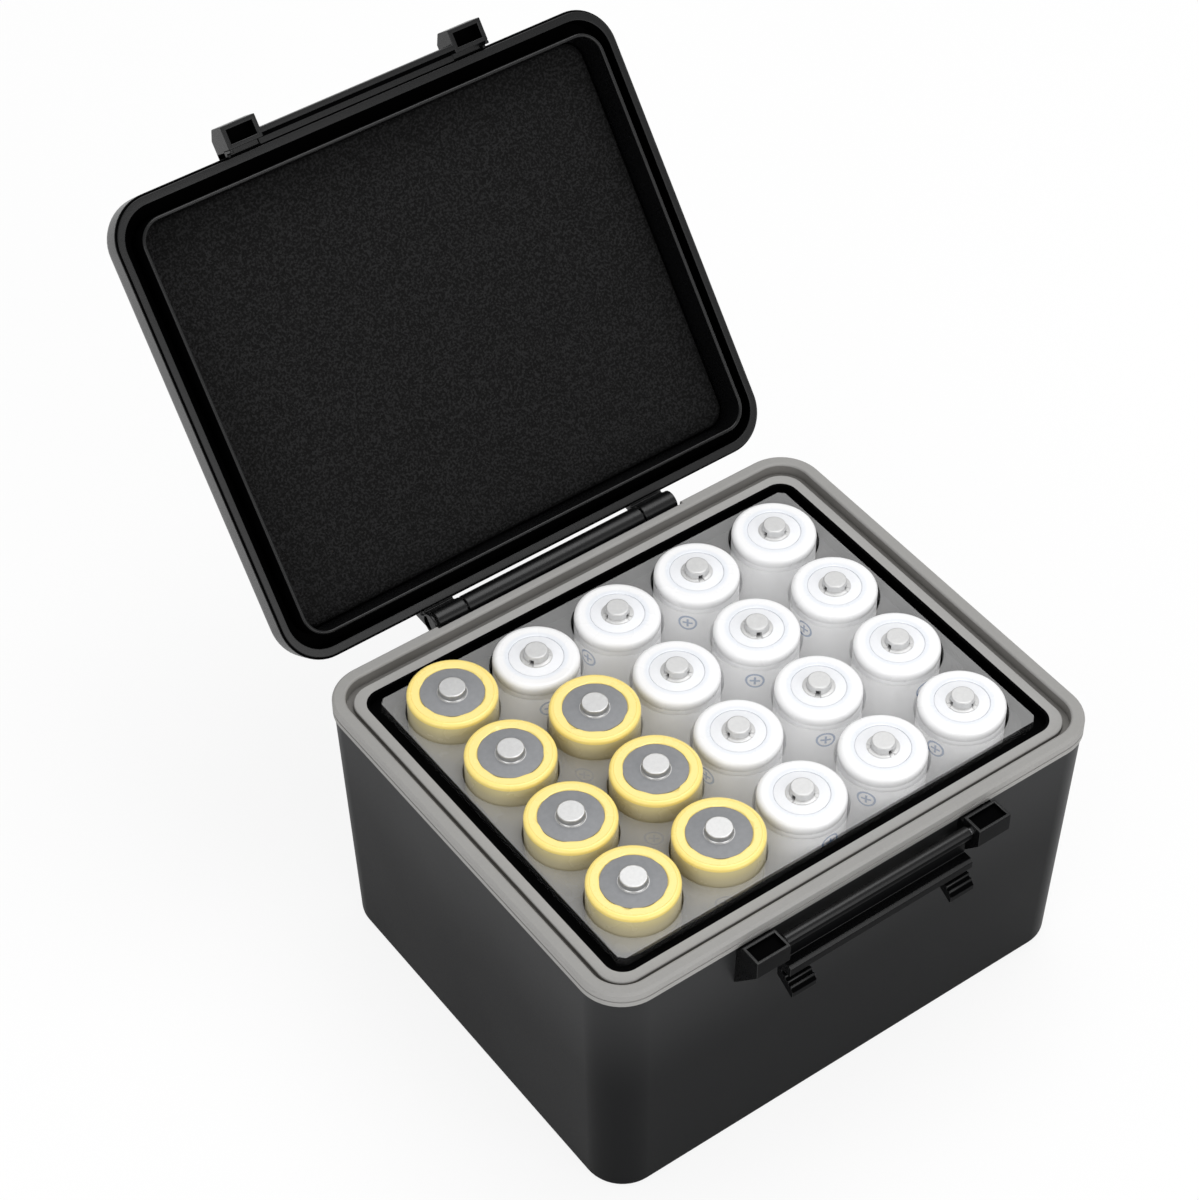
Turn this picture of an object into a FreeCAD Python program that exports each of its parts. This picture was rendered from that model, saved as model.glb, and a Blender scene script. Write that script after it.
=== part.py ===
import FreeCAD, Part
import math
import os

os.makedirs("parts", exist_ok=True)

# All sizes are in millimetres and degrees.
# +X is right, -Y is the latch side, +Y is the hinge side and z = 0 is the underside.

# Cells
CELL_COLUMNS = 5
CELL_ROWS = 4
BORE_WEB_X = 1.4
BORE_WEB_Y = 1.15
YELLOW_COLUMN = 0
YELLOW_SECOND_COLUMN_ROWS = (1, 2, 3)
YELLOW_RADIUS = 9.2
YELLOW_EXTRA_HEIGHT = 2.35
YELLOW_NUB_RADIUS = 2.9
YELLOW_NUB_TAPER = 0.15
YELLOW_NUB_HEIGHT = 1.5
YELLOW_RECESS_RADIUS = 6.55
WHITE_SLIMMER_BY = 0.25
WHITE_HEIGHT = 64.3
WHITE_NUB_RADIUS = 3.2
WHITE_NUB_TAPER = 0.75
WHITE_NUB_HEIGHT = 1.8
WHITE_RECESS_RADIUS = 5.6
CAN_SHOULDER = 0.8
CAN_FOOT_CHAMFER = 0.6
CRIMP_BELOW_TOP = 2.5
CRIMP_HALF_HEIGHT = 0.4
CRIMP_DEPTH = 0.2
CAP_RECESS_DEPTH = 0.35
CAP_PLATE_THICKNESS = 0.25
CAP_CLEARANCE = 0.05

# Tub
FLOOR_THICKNESS = 2.0
FLOOR_CUP_DEPTH = 0.8
FLOOR_CUP_CLEARANCE = 0.4
WALL_THICKNESS = 2.0
BODY_BELOW_CELL_TOP = 4.74
BODY_DRAFT = 1.8
BODY_TOP_CORNER = 9.1
BODY_FOOT_CORNER = 8.5
BODY_FOOT_FILLET = 1.2
CAVITY_CORNER = 7.0

# Tray
BORE_CLEARANCE = 0.3
TRAY_MARGIN = 1.35
TRAY_THICKNESS = 2.5
TRAY_ABOVE_LEDGE = 0.3
TRAY_CORNER = 1.2
TRAY_GAP = 2.2

# Rim frame and rim seal
FRAME_DEPTH = 2.4
FRAME_LIP = 0.6
FRAME_SEAT = 0.8
FRAME_CLEARANCE = 0.05
FRAME_CORNER = 3.5
SHELF_WIDTH = 1.05
SHELF_CORNER = 4.0
TONGUE_INSET = 0.4
TONGUE_WIDTH = 0.7
TONGUE_HEIGHT = 1.0
LEDGE_WIDTH = 2.26
LEDGE_HEIGHT = 1.69
LEDGE_CORNER = 4.1
LEDGE_OUTSIDE_CORNER = 5.4
RING_WIDTH = 2.78
RING_HEIGHT = 3.44
RING_CHAMFER = 0.5
RING_CROWN_ROUND = 0.9
STEP_CORNER = 6.6
RIM_CORNER = 9.4
RIM_OVERHANG = 0.34
SEAL_GROOVE_WIDTH = 1.43
SEAL_GROOVE_DEPTH = 1.15
SIDE_BEAD_DEPTH = 0.25
SIDE_BEAD_HEIGHT = 0.4
SIDE_BEAD_BELOW_TOP = 1.9

# Lid, sized as it lies when shut
LID_OPEN_ANGLE = 128.2
LID_REST_GAP = 0.15
LID_SIDE_INSET = 0.3
LID_HEIGHT = 9.85
LID_DRAFT = 0.3
LID_CORNER = 9.4
LID_TOP_FILLET = 4.6
LID_ROOF = 1.8
LIP_REBATE = 0.45
LIP_REBATE_HEIGHT = 0.5
CHANNEL_INSET = 2.25
CHANNEL_DEPTH = 5.0
CHANNEL_CORNER = 7.6
RIB_OUTSET = 1.45
RIB_THICKNESS = 0.8
RIB_CORNER = 5.4
RIB_LEDGE_GAP = 0.15
FOAM_THICKNESS = 2.75
FOAM_CLEARANCE = 0.3

# Hinge
HINGE_BEHIND_RIM = 2.58
HINGE_BELOW_RIM = 2.13
BARREL_RADIUS = 2.5
BARREL_HALF_LENGTH = 22.4
KNUCKLE_GAP = 0.4
KNUCKLE_LENGTH = 8.2
HINGE_PIN_RADIUS = 1.0
PIN_RUNNING_CLEARANCE = 0.05
CHEEK_THICKNESS = 0.6
CHEEK_SLIT = 0.5
BARREL_WEB_FOOT = 7.0
ARM_RIM_CLEARANCE = 0.4
ARM_ROOT_HEIGHT = 3.2
SEAL_NOTCH_DEPTH = 0.65
SEAL_NOTCH_END_GAP = 0.2

# Latch
LATCH_BEFORE_RIM = 3.25
LATCH_BELOW_RIM = 4.4
LATCH_PIN_RADIUS = 0.8
LATCH_PIN_HALF_LENGTH = 30.5
CLASP_HALF_LENGTH = 22.7
CLASP_SIDE_GAP = 0.6
CLASP_BARREL_RADIUS = 1.4
CLASP_PLATE_BACK = 1.6
CLASP_PLATE_FRONT = 0.2
CLASP_LIP_FROM_PIVOT = 5.85
CLASP_LIP_THICKNESS = 3.0
CLASP_LIP_REACH = 2.4
CLASP_LIP_ROUND = 0.6
TAB_INNER_X = 16.8
TAB_DROP = 14.2
TAB_REACH = 3.4
TAB_THICKNESS = 2.2
TAB_RIB_COUNT = 3
TAB_RIB_SIZE = 0.4
BLOCK_LENGTH = 8.0
BLOCK_REACH = 6.05
BRACKET_ABOVE_BODY = 1.15
BRACKET_FACE_HEIGHT = 4.3
BRACKET_FOOT_DROP = 11.0
BRACKET_RECESS_DEPTH = 1.0
BRACKET_FRAME = 0.7
BRACKET_RIM_GAP = 1.1

# Lid catch
CATCH_BLOCK_GAP = 0.5
CATCH_BLOCK_TOP = 5.25
CATCH_BLOCK_SLOPE = 2.2
CATCH_POCKET_DEPTH = 3.3
CATCH_POCKET_WALL = 1.2
CATCH_BAR_THICKNESS = 1.0
CATCH_SIDE_WEB = 0.8
LEDGE_LATCH_GAP = 0.25
LEDGE_PLATE_THICKNESS = 1.0
LEDGE_BAR_WIDTH = 1.2
LEDGE_CLASP_GAP = 0.4
ROOT_DEPTH = 0.8


class Outline:
    """A rounded rectangle about the z axis."""

    def __init__(self, half_x, half_y, corner):
        self.half_x = half_x
        self.half_y = half_y
        self.corner = corner

    def grown(self, distance, corner):
        return Outline(self.half_x + distance, self.half_y + distance, corner)

    def wire(self, z):
        in_x = self.half_x - self.corner
        in_y = self.half_y - self.corner
        diagonal = self.corner * math.sqrt(0.5)
        edges = []
        corners = [(1, -1), (1, 1), (-1, 1), (-1, -1)]
        for index, (side_x, side_y) in enumerate(corners):
            along_x = FreeCAD.Vector(side_x * self.half_x, side_y * in_y, z)
            along_y = FreeCAD.Vector(side_x * in_x, side_y * self.half_y, z)
            middle = FreeCAD.Vector(side_x * (in_x + diagonal), side_y * (in_y + diagonal), z)
            start, end = (along_y, along_x) if index % 2 == 0 else (along_x, along_y)
            edges.append((start, middle, end))
        pieces = []
        for index, (start, middle, end) in enumerate(edges):
            pieces.append(Part.Arc(start, middle, end).toShape())
            pieces.append(Part.makeLine(end, edges[(index + 1) % 4][0]))
        return Part.Wire(pieces)


# Two lengths closer than this are the same
CLOSE = 1e-6

# Sizes and heights that follow from the sizes above
WHITE_RADIUS = YELLOW_RADIUS - WHITE_SLIMMER_BY
YELLOW_HEIGHT = WHITE_HEIGHT + YELLOW_EXTRA_HEIGHT
BODY_HEIGHT = FLOOR_THICKNESS + WHITE_HEIGHT - BODY_BELOW_CELL_TOP
RIM_TOP_Z = BODY_HEIGHT + RING_HEIGHT
LEDGE_Z = BODY_HEIGHT + LEDGE_HEIGHT
TRAY_TOP_Z = LEDGE_Z + TRAY_ABOVE_LEDGE
TRAY_LOW_Z = TRAY_TOP_Z - TRAY_THICKNESS
FLOOR_TOP_Z = FLOOR_THICKNESS + FLOOR_CUP_DEPTH
LID_LIP_Z = RIM_TOP_Z + LID_REST_GAP
LID_TOP_Z = LID_LIP_Z + LID_HEIGHT
LID_ROOF_Z = LID_TOP_Z - LID_ROOF

# Outlines that follow from the cell grid, from the tray outwards
BORE_RADIUS = YELLOW_RADIUS + BORE_CLEARANCE
CELL_PITCH_X = 2 * BORE_RADIUS + BORE_WEB_X
CELL_PITCH_Y = 2 * BORE_RADIUS + BORE_WEB_Y
TRAY = Outline(
    (CELL_COLUMNS - 1) / 2 * CELL_PITCH_X + BORE_RADIUS + TRAY_MARGIN,
    (CELL_ROWS - 1) / 2 * CELL_PITCH_Y + BORE_RADIUS + TRAY_MARGIN,
    TRAY_CORNER,
)
SHELF_INSIDE = TRAY.grown(-SHELF_WIDTH, SHELF_CORNER)
FRAME_INSIDE = TRAY.grown(TRAY_GAP, FRAME_CORNER)
LEDGE_INSIDE = FRAME_INSIDE.grown(FRAME_LIP, LEDGE_CORNER)
LEDGE_OUTSIDE = LEDGE_INSIDE.grown(LEDGE_WIDTH, LEDGE_OUTSIDE_CORNER)
STEP = LEDGE_OUTSIDE.grown(SEAL_GROOVE_WIDTH, STEP_CORNER)
RIM = STEP.grown(RING_WIDTH, RIM_CORNER)
BODY_TOP = RIM.grown(-RIM_OVERHANG, BODY_TOP_CORNER)
BODY_FOOT = BODY_TOP.grown(-BODY_DRAFT, BODY_FOOT_CORNER)
LID_LIP = Outline(RIM.half_x - LID_SIDE_INSET, RIM.half_y, LID_CORNER)
CHANNEL = RIM.grown(-CHANNEL_INSET, CHANNEL_CORNER)
RIB = LEDGE_INSIDE.grown(RIB_OUTSET, RIB_CORNER)
RIB_INSIDE = RIB.grown(-RIB_THICKNESS, RIB_CORNER - RIB_THICKNESS)

# Hinge and latch lines
HINGE_Y = RIM.half_y + HINGE_BEHIND_RIM
HINGE_Z = RIM_TOP_Z - HINGE_BELOW_RIM
HINGE_REACH = BARREL_HALF_LENGTH + KNUCKLE_GAP + KNUCKLE_LENGTH
HINGE_PIN_LEFT_END = HINGE_REACH - CHEEK_THICKNESS - CHEEK_SLIT
LATCH_Y = -(RIM.half_y + LATCH_BEFORE_RIM)
LATCH_Z = RIM_TOP_Z - LATCH_BELOW_RIM
BLOCK_INNER_X = CLASP_HALF_LENGTH + CLASP_SIDE_GAP
BLOCK_OUTER_X = BLOCK_INNER_X + BLOCK_LENGTH
BLOCK_FRONT_Y = -(RIM.half_y + BLOCK_REACH)
BRACKET_TOP_Z = BODY_HEIGHT + BRACKET_ABOVE_BODY
CLASP_PLATE_Y = LATCH_Y + CLASP_PLATE_FRONT
LEDGE_TOP_Z = LATCH_Z + CLASP_LIP_FROM_PIVOT - LEDGE_LATCH_GAP
LEDGE_FRONT_Y = LATCH_Y - CLASP_PLATE_FRONT + LEDGE_CLASP_GAP


def prism(outline, low, high):
    return Part.Face(outline.wire(low)).extrude(FreeCAD.Vector(0, 0, high - low))


def drafted(low_outline, low, high_outline, high):
    return Part.makeLoft([low_outline.wire(low), high_outline.wire(high)], True, True)


def ring(outside, inside, low, high):
    return prism(outside, low, high).cut(prism(inside, low, high))


def section(points, low_x, high_x):
    """A prism along X from a closed row of (y, z) points."""
    corners = [FreeCAD.Vector(low_x, y, z) for y, z in points]
    face = Part.Face(Part.makePolygon(corners + corners[:1]))
    return face.extrude(FreeCAD.Vector(high_x - low_x, 0, 0))


def box(low, high):
    size = [b - a for a, b in zip(low, high)]
    return Part.makeBox(size[0], size[1], size[2], FreeCAD.Vector(*low))


def rod_x(radius, low_x, high_x, y, z):
    return Part.makeCylinder(radius, high_x - low_x, FreeCAD.Vector(low_x, y, z), FreeCAD.Vector(1, 0, 0))


def rod_z(radius, x, y, low, high):
    return Part.makeCylinder(radius, high - low, FreeCAD.Vector(x, y, low))


def revolved(points, x, y):
    """A solid of revolution about a vertical axis from a row of (radius, z) points."""
    corners = [FreeCAD.Vector(x + radius, y, z) for radius, z in points]
    face = Part.Face(Part.makePolygon(corners + corners[:1]))
    return face.revolve(FreeCAD.Vector(x, y, 0), FreeCAD.Vector(0, 0, 1), 360)


def both_ends(shape):
    return [shape, shape.mirror(FreeCAD.Vector(0, 0, 0), FreeCAD.Vector(1, 0, 0))]


def level_edges(shape, z):
    """Edges that lie wholly at height z."""
    found = []
    for edge in shape.Edges:
        box_z = edge.BoundBox
        if abs(box_z.ZMin - z) < CLOSE and abs(box_z.ZMax - z) < CLOSE:
            found.append(edge)
    return found


def cell_centres():
    """Grid places as (column, row, x, y), columns left to right and rows back to front."""
    for column in range(CELL_COLUMNS):
        for row in range(CELL_ROWS):
            x = (column - (CELL_COLUMNS - 1) / 2) * CELL_PITCH_X
            y = ((CELL_ROWS - 1) / 2 - row) * CELL_PITCH_Y
            yield column, row, x, y


def opened(shape):
    """Turns a piece of the shut lid about the hinge line to the open pose."""
    turned = shape.copy()
    turned.rotate(FreeCAD.Vector(0, HINGE_Y, HINGE_Z), FreeCAD.Vector(1, 0, 0), -LID_OPEN_ANGLE)
    return turned


# Tub with floor cups, latch brackets and the middle hinge barrel
def tub():
    outside = drafted(BODY_FOOT, 0, BODY_TOP, BODY_HEIGHT)
    outside = outside.makeFillet(BODY_FOOT_FILLET, level_edges(outside, 0))
    inside = drafted(
        BODY_FOOT.grown(-WALL_THICKNESS, CAVITY_CORNER), FLOOR_TOP_Z,
        BODY_TOP.grown(-WALL_THICKNESS, CAVITY_CORNER), BODY_HEIGHT,
    )
    shape = outside.cut(inside)
    seat = prism(frame_outline(0), BODY_HEIGHT - FRAME_DEPTH, BODY_HEIGHT)
    shape = shape.cut(seat)
    for column, row, x, y in cell_centres():
        cup_radius = YELLOW_RADIUS + FLOOR_CUP_CLEARANCE
        shape = shape.cut(rod_z(cup_radius, x, y, FLOOR_THICKNESS, FLOOR_TOP_Z))
    return shape


def frame_outline(clearance):
    """Outline of the seat for the rim frame, or of the frame itself."""
    inset = WALL_THICKNESS - FRAME_SEAT + clearance
    return BODY_TOP.grown(-inset, BODY_TOP_CORNER - inset)


def wall_y(z):
    """Distance of the tub's front and back faces from the middle at height z."""
    return BODY_FOOT.half_y + BODY_DRAFT * z / BODY_HEIGHT


def bracket():
    """Right-hand latch bracket: a gusset with a framed recess in its top."""
    foot_z = BODY_HEIGHT - BRACKET_FOOT_DROP
    root_y = -wall_y(foot_z) + ROOT_DEPTH
    under_rim_z = BODY_HEIGHT - LEDGE_LATCH_GAP
    back_y = -(RIM.half_y + BRACKET_RIM_GAP)
    profile = [
        (root_y, under_rim_z),
        (back_y, under_rim_z),
        (back_y, BRACKET_TOP_Z),
        (BLOCK_FRONT_Y, BRACKET_TOP_Z),
        (BLOCK_FRONT_Y, BRACKET_TOP_Z - BRACKET_FACE_HEIGHT),
        (root_y - ROOT_DEPTH, foot_z),
        (root_y, foot_z),
    ]
    shape = section(profile, BLOCK_INNER_X, BLOCK_OUTER_X)
    recess = box(
        (BLOCK_INNER_X + BRACKET_FRAME, BLOCK_FRONT_Y + BRACKET_FRAME, BRACKET_TOP_Z - BRACKET_RECESS_DEPTH),
        (BLOCK_OUTER_X - BRACKET_FRAME, back_y - BRACKET_FRAME, BRACKET_TOP_Z),
    )
    return shape.cut(recess)


def middle_barrel():
    """Hinge barrel of the tub on a tapering web."""
    web_top = BODY_HEIGHT - LEDGE_LATCH_GAP
    foot_z = BODY_HEIGHT - BARREL_WEB_FOOT
    root_y = wall_y(foot_z) - ROOT_DEPTH
    profile = [
        (root_y, web_top),
        (HINGE_Y - BARREL_RADIUS * math.sqrt(0.5), web_top),
        (HINGE_Y, HINGE_Z),
        (HINGE_Y + BARREL_RADIUS, HINGE_Z),
        (root_y + ROOT_DEPTH, foot_z),
        (root_y, foot_z),
    ]
    web = section(profile, -BARREL_HALF_LENGTH, BARREL_HALF_LENGTH)
    return web.fuse(rod_x(BARREL_RADIUS, -BARREL_HALF_LENGTH, BARREL_HALF_LENGTH, HINGE_Y, HINGE_Z))


def body_shell():
    shape = tub().fuse(both_ends(bracket()) + [middle_barrel()])
    hinge_hole = rod_x(
        HINGE_PIN_RADIUS + PIN_RUNNING_CLEARANCE, -BARREL_HALF_LENGTH, BARREL_HALF_LENGTH, HINGE_Y, HINGE_Z)
    latch_hole = rod_x(
        LATCH_PIN_RADIUS + PIN_RUNNING_CLEARANCE,
        -LATCH_PIN_HALF_LENGTH, LATCH_PIN_HALF_LENGTH, LATCH_Y, LATCH_Z)
    return shape.cut([hinge_hole, latch_hole]).removeSplitter()


# Ring bonded into the top of the tub, which carries the seal and, on its shelf, the tray
def tongue(clearance):
    """Ring that stands up from the frame into the seal."""
    far = TONGUE_INSET + TONGUE_WIDTH + clearance
    near = TONGUE_INSET - clearance
    outside = STEP.grown(far, STEP_CORNER + far)
    inside = STEP.grown(near, STEP_CORNER + near)
    return ring(outside, inside, BODY_HEIGHT, BODY_HEIGHT + TONGUE_HEIGHT + clearance)


def rim_frame():
    low_z = BODY_HEIGHT - FRAME_DEPTH
    shape = ring(frame_outline(FRAME_CLEARANCE), FRAME_INSIDE, low_z, BODY_HEIGHT)
    shelf = ring(FRAME_INSIDE, SHELF_INSIDE, low_z, TRAY_LOW_Z)
    lip = ring(LEDGE_INSIDE, FRAME_INSIDE, BODY_HEIGHT, LEDGE_Z)
    return shape.fuse([shelf, lip, tongue(0)]).removeSplitter()


# Soft ring with a rounded crown, a groove inside it, an inner ledge and a notch for the hinge
def hinge_notch():
    """Room that the seal leaves for the hinge barrel."""
    face_y = RIM.half_y - SEAL_NOTCH_DEPTH
    half_length = HINGE_REACH + SEAL_NOTCH_END_GAP
    profile = [
        (face_y, BODY_HEIGHT),
        (face_y, RIM_TOP_Z - RING_CHAMFER),
        (face_y - RING_CHAMFER, RIM_TOP_Z),
        (RIM.half_y, RIM_TOP_Z),
        (RIM.half_y, BODY_HEIGHT),
    ]
    return section(profile, -half_length, half_length)


def rim_seal():
    chamfer_z = RIM_TOP_Z - RING_CHAMFER
    side = prism(RIM, BODY_HEIGHT, chamfer_z)
    crown = drafted(RIM, chamfer_z, RIM.grown(-RING_CHAMFER, RIM_CORNER - RING_CHAMFER), RIM_TOP_Z)
    shape = side.fuse(crown).cut(prism(STEP, LEDGE_Z, RIM_TOP_Z))
    inner_edges = [
        edge for edge in level_edges(shape, RIM_TOP_Z)
        if edge.BoundBox.XMax < STEP.half_x + CLOSE and edge.BoundBox.XMin > -STEP.half_x - CLOSE
        and edge.BoundBox.YMax < STEP.half_y + CLOSE and edge.BoundBox.YMin > -STEP.half_y - CLOSE
    ]
    shape = shape.makeFillet(RING_CROWN_ROUND, inner_edges)
    shape = shape.cut(prism(LEDGE_INSIDE.grown(FRAME_CLEARANCE, LEDGE_CORNER), BODY_HEIGHT, LEDGE_Z))
    shape = shape.cut(ring(STEP, LEDGE_OUTSIDE, LEDGE_Z - SEAL_GROOVE_DEPTH, LEDGE_Z))
    bead_top = RIM_TOP_Z - SIDE_BEAD_BELOW_TOP
    bead_inside = RIM.grown(-SIDE_BEAD_DEPTH, RIM_CORNER - SIDE_BEAD_DEPTH)
    shape = shape.cut(ring(RIM, bead_inside, bead_top - SIDE_BEAD_HEIGHT, bead_top))
    return shape.cut([tongue(FRAME_CLEARANCE), hinge_notch()]).removeSplitter()


# Deck with a bore for each cell, which lies on the shelf of the rim frame
def cell_tray():
    deck = prism(TRAY, TRAY_LOW_Z, TRAY_TOP_Z)
    bores = []
    for column, row, x, y in cell_centres():
        bores.append(rod_z(BORE_RADIUS, x, y, TRAY_LOW_Z, TRAY_TOP_Z))
    return deck.cut(bores)


# Lid, drawn shut and then opened
def lid_dome():
    top = LID_LIP.grown(-LID_DRAFT, LID_CORNER - LID_DRAFT)
    outside = drafted(LID_LIP, LID_LIP_Z, top, LID_TOP_Z)
    outside = outside.makeFillet(LID_TOP_FILLET, level_edges(outside, LID_TOP_Z))
    rebate = LID_LIP.grown(-LIP_REBATE, LID_CORNER - LIP_REBATE)
    outside = outside.cut(ring(LID_LIP, rebate, LID_LIP_Z, LID_LIP_Z + LIP_REBATE_HEIGHT))
    channel_top = LID_LIP_Z + CHANNEL_DEPTH
    shape = outside.cut(prism(CHANNEL, LID_LIP_Z, channel_top))
    rib = ring(RIB, RIB_INSIDE, LEDGE_Z + RIB_LEDGE_GAP, channel_top)
    return shape.fuse(rib).cut(prism(RIB_INSIDE, LID_LIP_Z, LID_ROOF_Z))


def arm_profile():
    """Outline of a hinge arm from the lid's back wall round the hinge line."""
    inner_y = RIM.half_y + ARM_RIM_CLEARANCE
    root_y = LID_LIP.half_y - ROOT_DEPTH
    root_z = LID_LIP_Z + LIP_REBATE_HEIGHT
    return [
        (inner_y, HINGE_Z),
        (inner_y, root_z),
        (root_y, root_z),
        (root_y, root_z + ARM_ROOT_HEIGHT),
        (LID_LIP.half_y, root_z + ARM_ROOT_HEIGHT),
        (HINGE_Y + BARREL_RADIUS, HINGE_Z),
    ]


def hinge_arm(low_x, high_x):
    """Stretch of a hinge arm with its round end."""
    arm = section(arm_profile(), low_x, high_x)
    return arm.fuse(rod_x(BARREL_RADIUS, low_x, high_x, HINGE_Y, HINGE_Z))


def knuckles():
    """Right-hand knuckle, shorter left-hand knuckle and the thin cheek that closes the left end."""
    near_x = BARREL_HALF_LENGTH + KNUCKLE_GAP
    return [
        hinge_arm(near_x, HINGE_REACH),
        hinge_arm(-HINGE_PIN_LEFT_END, -near_x),
        hinge_arm(-HINGE_REACH, CHEEK_THICKNESS - HINGE_REACH),
    ]


def catch_block():
    """Right-hand catch block: a hollow guard with a slanted top and a framed pocket below."""
    low_z = BRACKET_TOP_Z + CATCH_BLOCK_GAP
    high_z = LID_LIP_Z + CATCH_BLOCK_TOP
    root_y = -LID_LIP.half_y + ROOT_DEPTH
    bar_back_y = -(RIM.half_y + BRACKET_RIM_GAP)
    bar_front_y = bar_back_y - CATCH_BAR_THICKNESS
    shelf_z = LID_LIP_Z + LEDGE_PLATE_THICKNESS
    profile = [
        (root_y, shelf_z),
        (bar_back_y, shelf_z),
        (bar_back_y, low_z),
        (BLOCK_FRONT_Y, low_z),
        (BLOCK_FRONT_Y, high_z - CATCH_BLOCK_SLOPE),
        (BLOCK_FRONT_Y + CATCH_BLOCK_SLOPE, high_z),
        (root_y, high_z),
    ]
    shape = section(profile, BLOCK_INNER_X, BLOCK_OUTER_X)
    web_profile = [
        (root_y, LID_LIP_Z + LIP_REBATE_HEIGHT),
        (-(RIM.half_y + ARM_RIM_CLEARANCE), LID_LIP_Z),
        (-(RIM.half_y + ARM_RIM_CLEARANCE), low_z),
        (bar_back_y, low_z),
        (bar_back_y, high_z),
        (root_y, high_z),
    ]
    web = section(web_profile, BLOCK_OUTER_X - CATCH_SIDE_WEB, BLOCK_OUTER_X)
    pocket = box(
        (BLOCK_INNER_X + BRACKET_FRAME, BLOCK_FRONT_Y + CATCH_POCKET_WALL, low_z),
        (BLOCK_OUTER_X - CATCH_POCKET_WALL, bar_front_y, low_z + CATCH_POCKET_DEPTH),
    )
    return shape.fuse(web).cut(pocket)


def catch_ledge():
    """Shelf between the catch blocks with a bar that hangs from its front edge."""
    low_z = BRACKET_TOP_Z + CATCH_BLOCK_GAP
    root_y = -LID_LIP.half_y + ROOT_DEPTH
    shelf_low_z = LEDGE_TOP_Z - LEDGE_PLATE_THICKNESS
    profile = [
        (root_y, LEDGE_TOP_Z),
        (root_y, shelf_low_z),
        (LEDGE_FRONT_Y + LEDGE_BAR_WIDTH, shelf_low_z),
        (LEDGE_FRONT_Y + LEDGE_BAR_WIDTH, low_z),
        (LEDGE_FRONT_Y, low_z),
        (LEDGE_FRONT_Y, LEDGE_TOP_Z),
    ]
    return section(profile, -BLOCK_INNER_X, BLOCK_INNER_X)


def lid_shell():
    shape = lid_dome().fuse(knuckles() + both_ends(catch_block()) + [catch_ledge()])
    hole = rod_x(
        HINGE_PIN_RADIUS + PIN_RUNNING_CLEARANCE, -HINGE_PIN_LEFT_END, HINGE_REACH, HINGE_Y, HINGE_Z)
    return opened(shape.cut(hole).removeSplitter())


def lid_foam():
    outline = RIB_INSIDE.grown(-FOAM_CLEARANCE, RIB_INSIDE.corner - FOAM_CLEARANCE)
    return opened(prism(outline, LID_ROOF_Z - FOAM_THICKNESS, LID_ROOF_Z))


# Pins
def hinge_pin():
    return rod_x(HINGE_PIN_RADIUS, -HINGE_PIN_LEFT_END, HINGE_REACH, HINGE_Y, HINGE_Z)


def latch_pin():
    return rod_x(LATCH_PIN_RADIUS, -LATCH_PIN_HALF_LENGTH, LATCH_PIN_HALF_LENGTH, LATCH_Y, LATCH_Z)


# Clasp, drawn hanging open on its pin
def finger_tab():
    """Right-hand finger tab: a sloping ribbed shelf below the plate."""
    lip_foot_z = LATCH_Z - CLASP_LIP_FROM_PIVOT - CLASP_LIP_THICKNESS
    back_y = LATCH_Y + CLASP_PLATE_BACK
    tip_y = LATCH_Y - TAB_REACH
    tip_z = LATCH_Z - TAB_DROP
    top_z = lip_foot_z - TAB_RIB_SIZE
    profile = [
        (back_y, lip_foot_z),
        (back_y, top_z - TAB_THICKNESS),
        (tip_y + TAB_RIB_SIZE, tip_z),
        (tip_y, tip_z + TAB_RIB_SIZE),
        (tip_y, tip_z + TAB_THICKNESS - TAB_RIB_SIZE),
        (CLASP_PLATE_Y, top_z),
        (CLASP_PLATE_Y, lip_foot_z),
    ]
    shape = section(profile, TAB_INNER_X, CLASP_HALF_LENGTH)
    ribs = []
    slope_y = tip_y - CLASP_PLATE_Y
    slope_z = tip_z + TAB_THICKNESS - TAB_RIB_SIZE - top_z
    for index in range(TAB_RIB_COUNT):
        share = (index + 1) / (TAB_RIB_COUNT + 1)
        y = CLASP_PLATE_Y + share * slope_y
        z = top_z + share * slope_z
        ribs.append(rod_x(TAB_RIB_SIZE, TAB_INNER_X, CLASP_HALF_LENGTH, y, z))
    return shape.fuse(ribs)


def latch_clasp():
    half = CLASP_HALF_LENGTH
    lip_top_z = LATCH_Z - CLASP_LIP_FROM_PIVOT
    lip_foot_z = lip_top_z - CLASP_LIP_THICKNESS
    lip_front_y = LATCH_Y - CLASP_LIP_REACH
    barrel = rod_x(CLASP_BARREL_RADIUS, -half, half, LATCH_Y, LATCH_Z)
    profile = [
        (LATCH_Y + CLASP_PLATE_BACK, LATCH_Z),
        (LATCH_Y + CLASP_PLATE_BACK, lip_foot_z),
        (lip_front_y + CLASP_LIP_ROUND, lip_foot_z),
        (lip_front_y, lip_foot_z + CLASP_LIP_ROUND),
        (lip_front_y, lip_top_z - CLASP_LIP_ROUND),
        (lip_front_y + CLASP_LIP_ROUND, lip_top_z),
        (CLASP_PLATE_Y, lip_top_z),
        (CLASP_PLATE_Y, LATCH_Z),
    ]
    shape = section(profile, -half, half).fuse([barrel] + both_ends(finger_tab()))
    hole = rod_x(LATCH_PIN_RADIUS + PIN_RUNNING_CLEARANCE, -half, half, LATCH_Y, LATCH_Z)
    return shape.cut(hole).removeSplitter()


# Cells
def crimp_line(radius, top):
    """Points of the shallow line pressed round a can below its top."""
    middle = top - CRIMP_BELOW_TOP
    return [
        (radius, middle - CRIMP_HALF_HEIGHT),
        (radius - CRIMP_DEPTH, middle),
        (radius, middle + CRIMP_HALF_HEIGHT),
    ]


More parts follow.
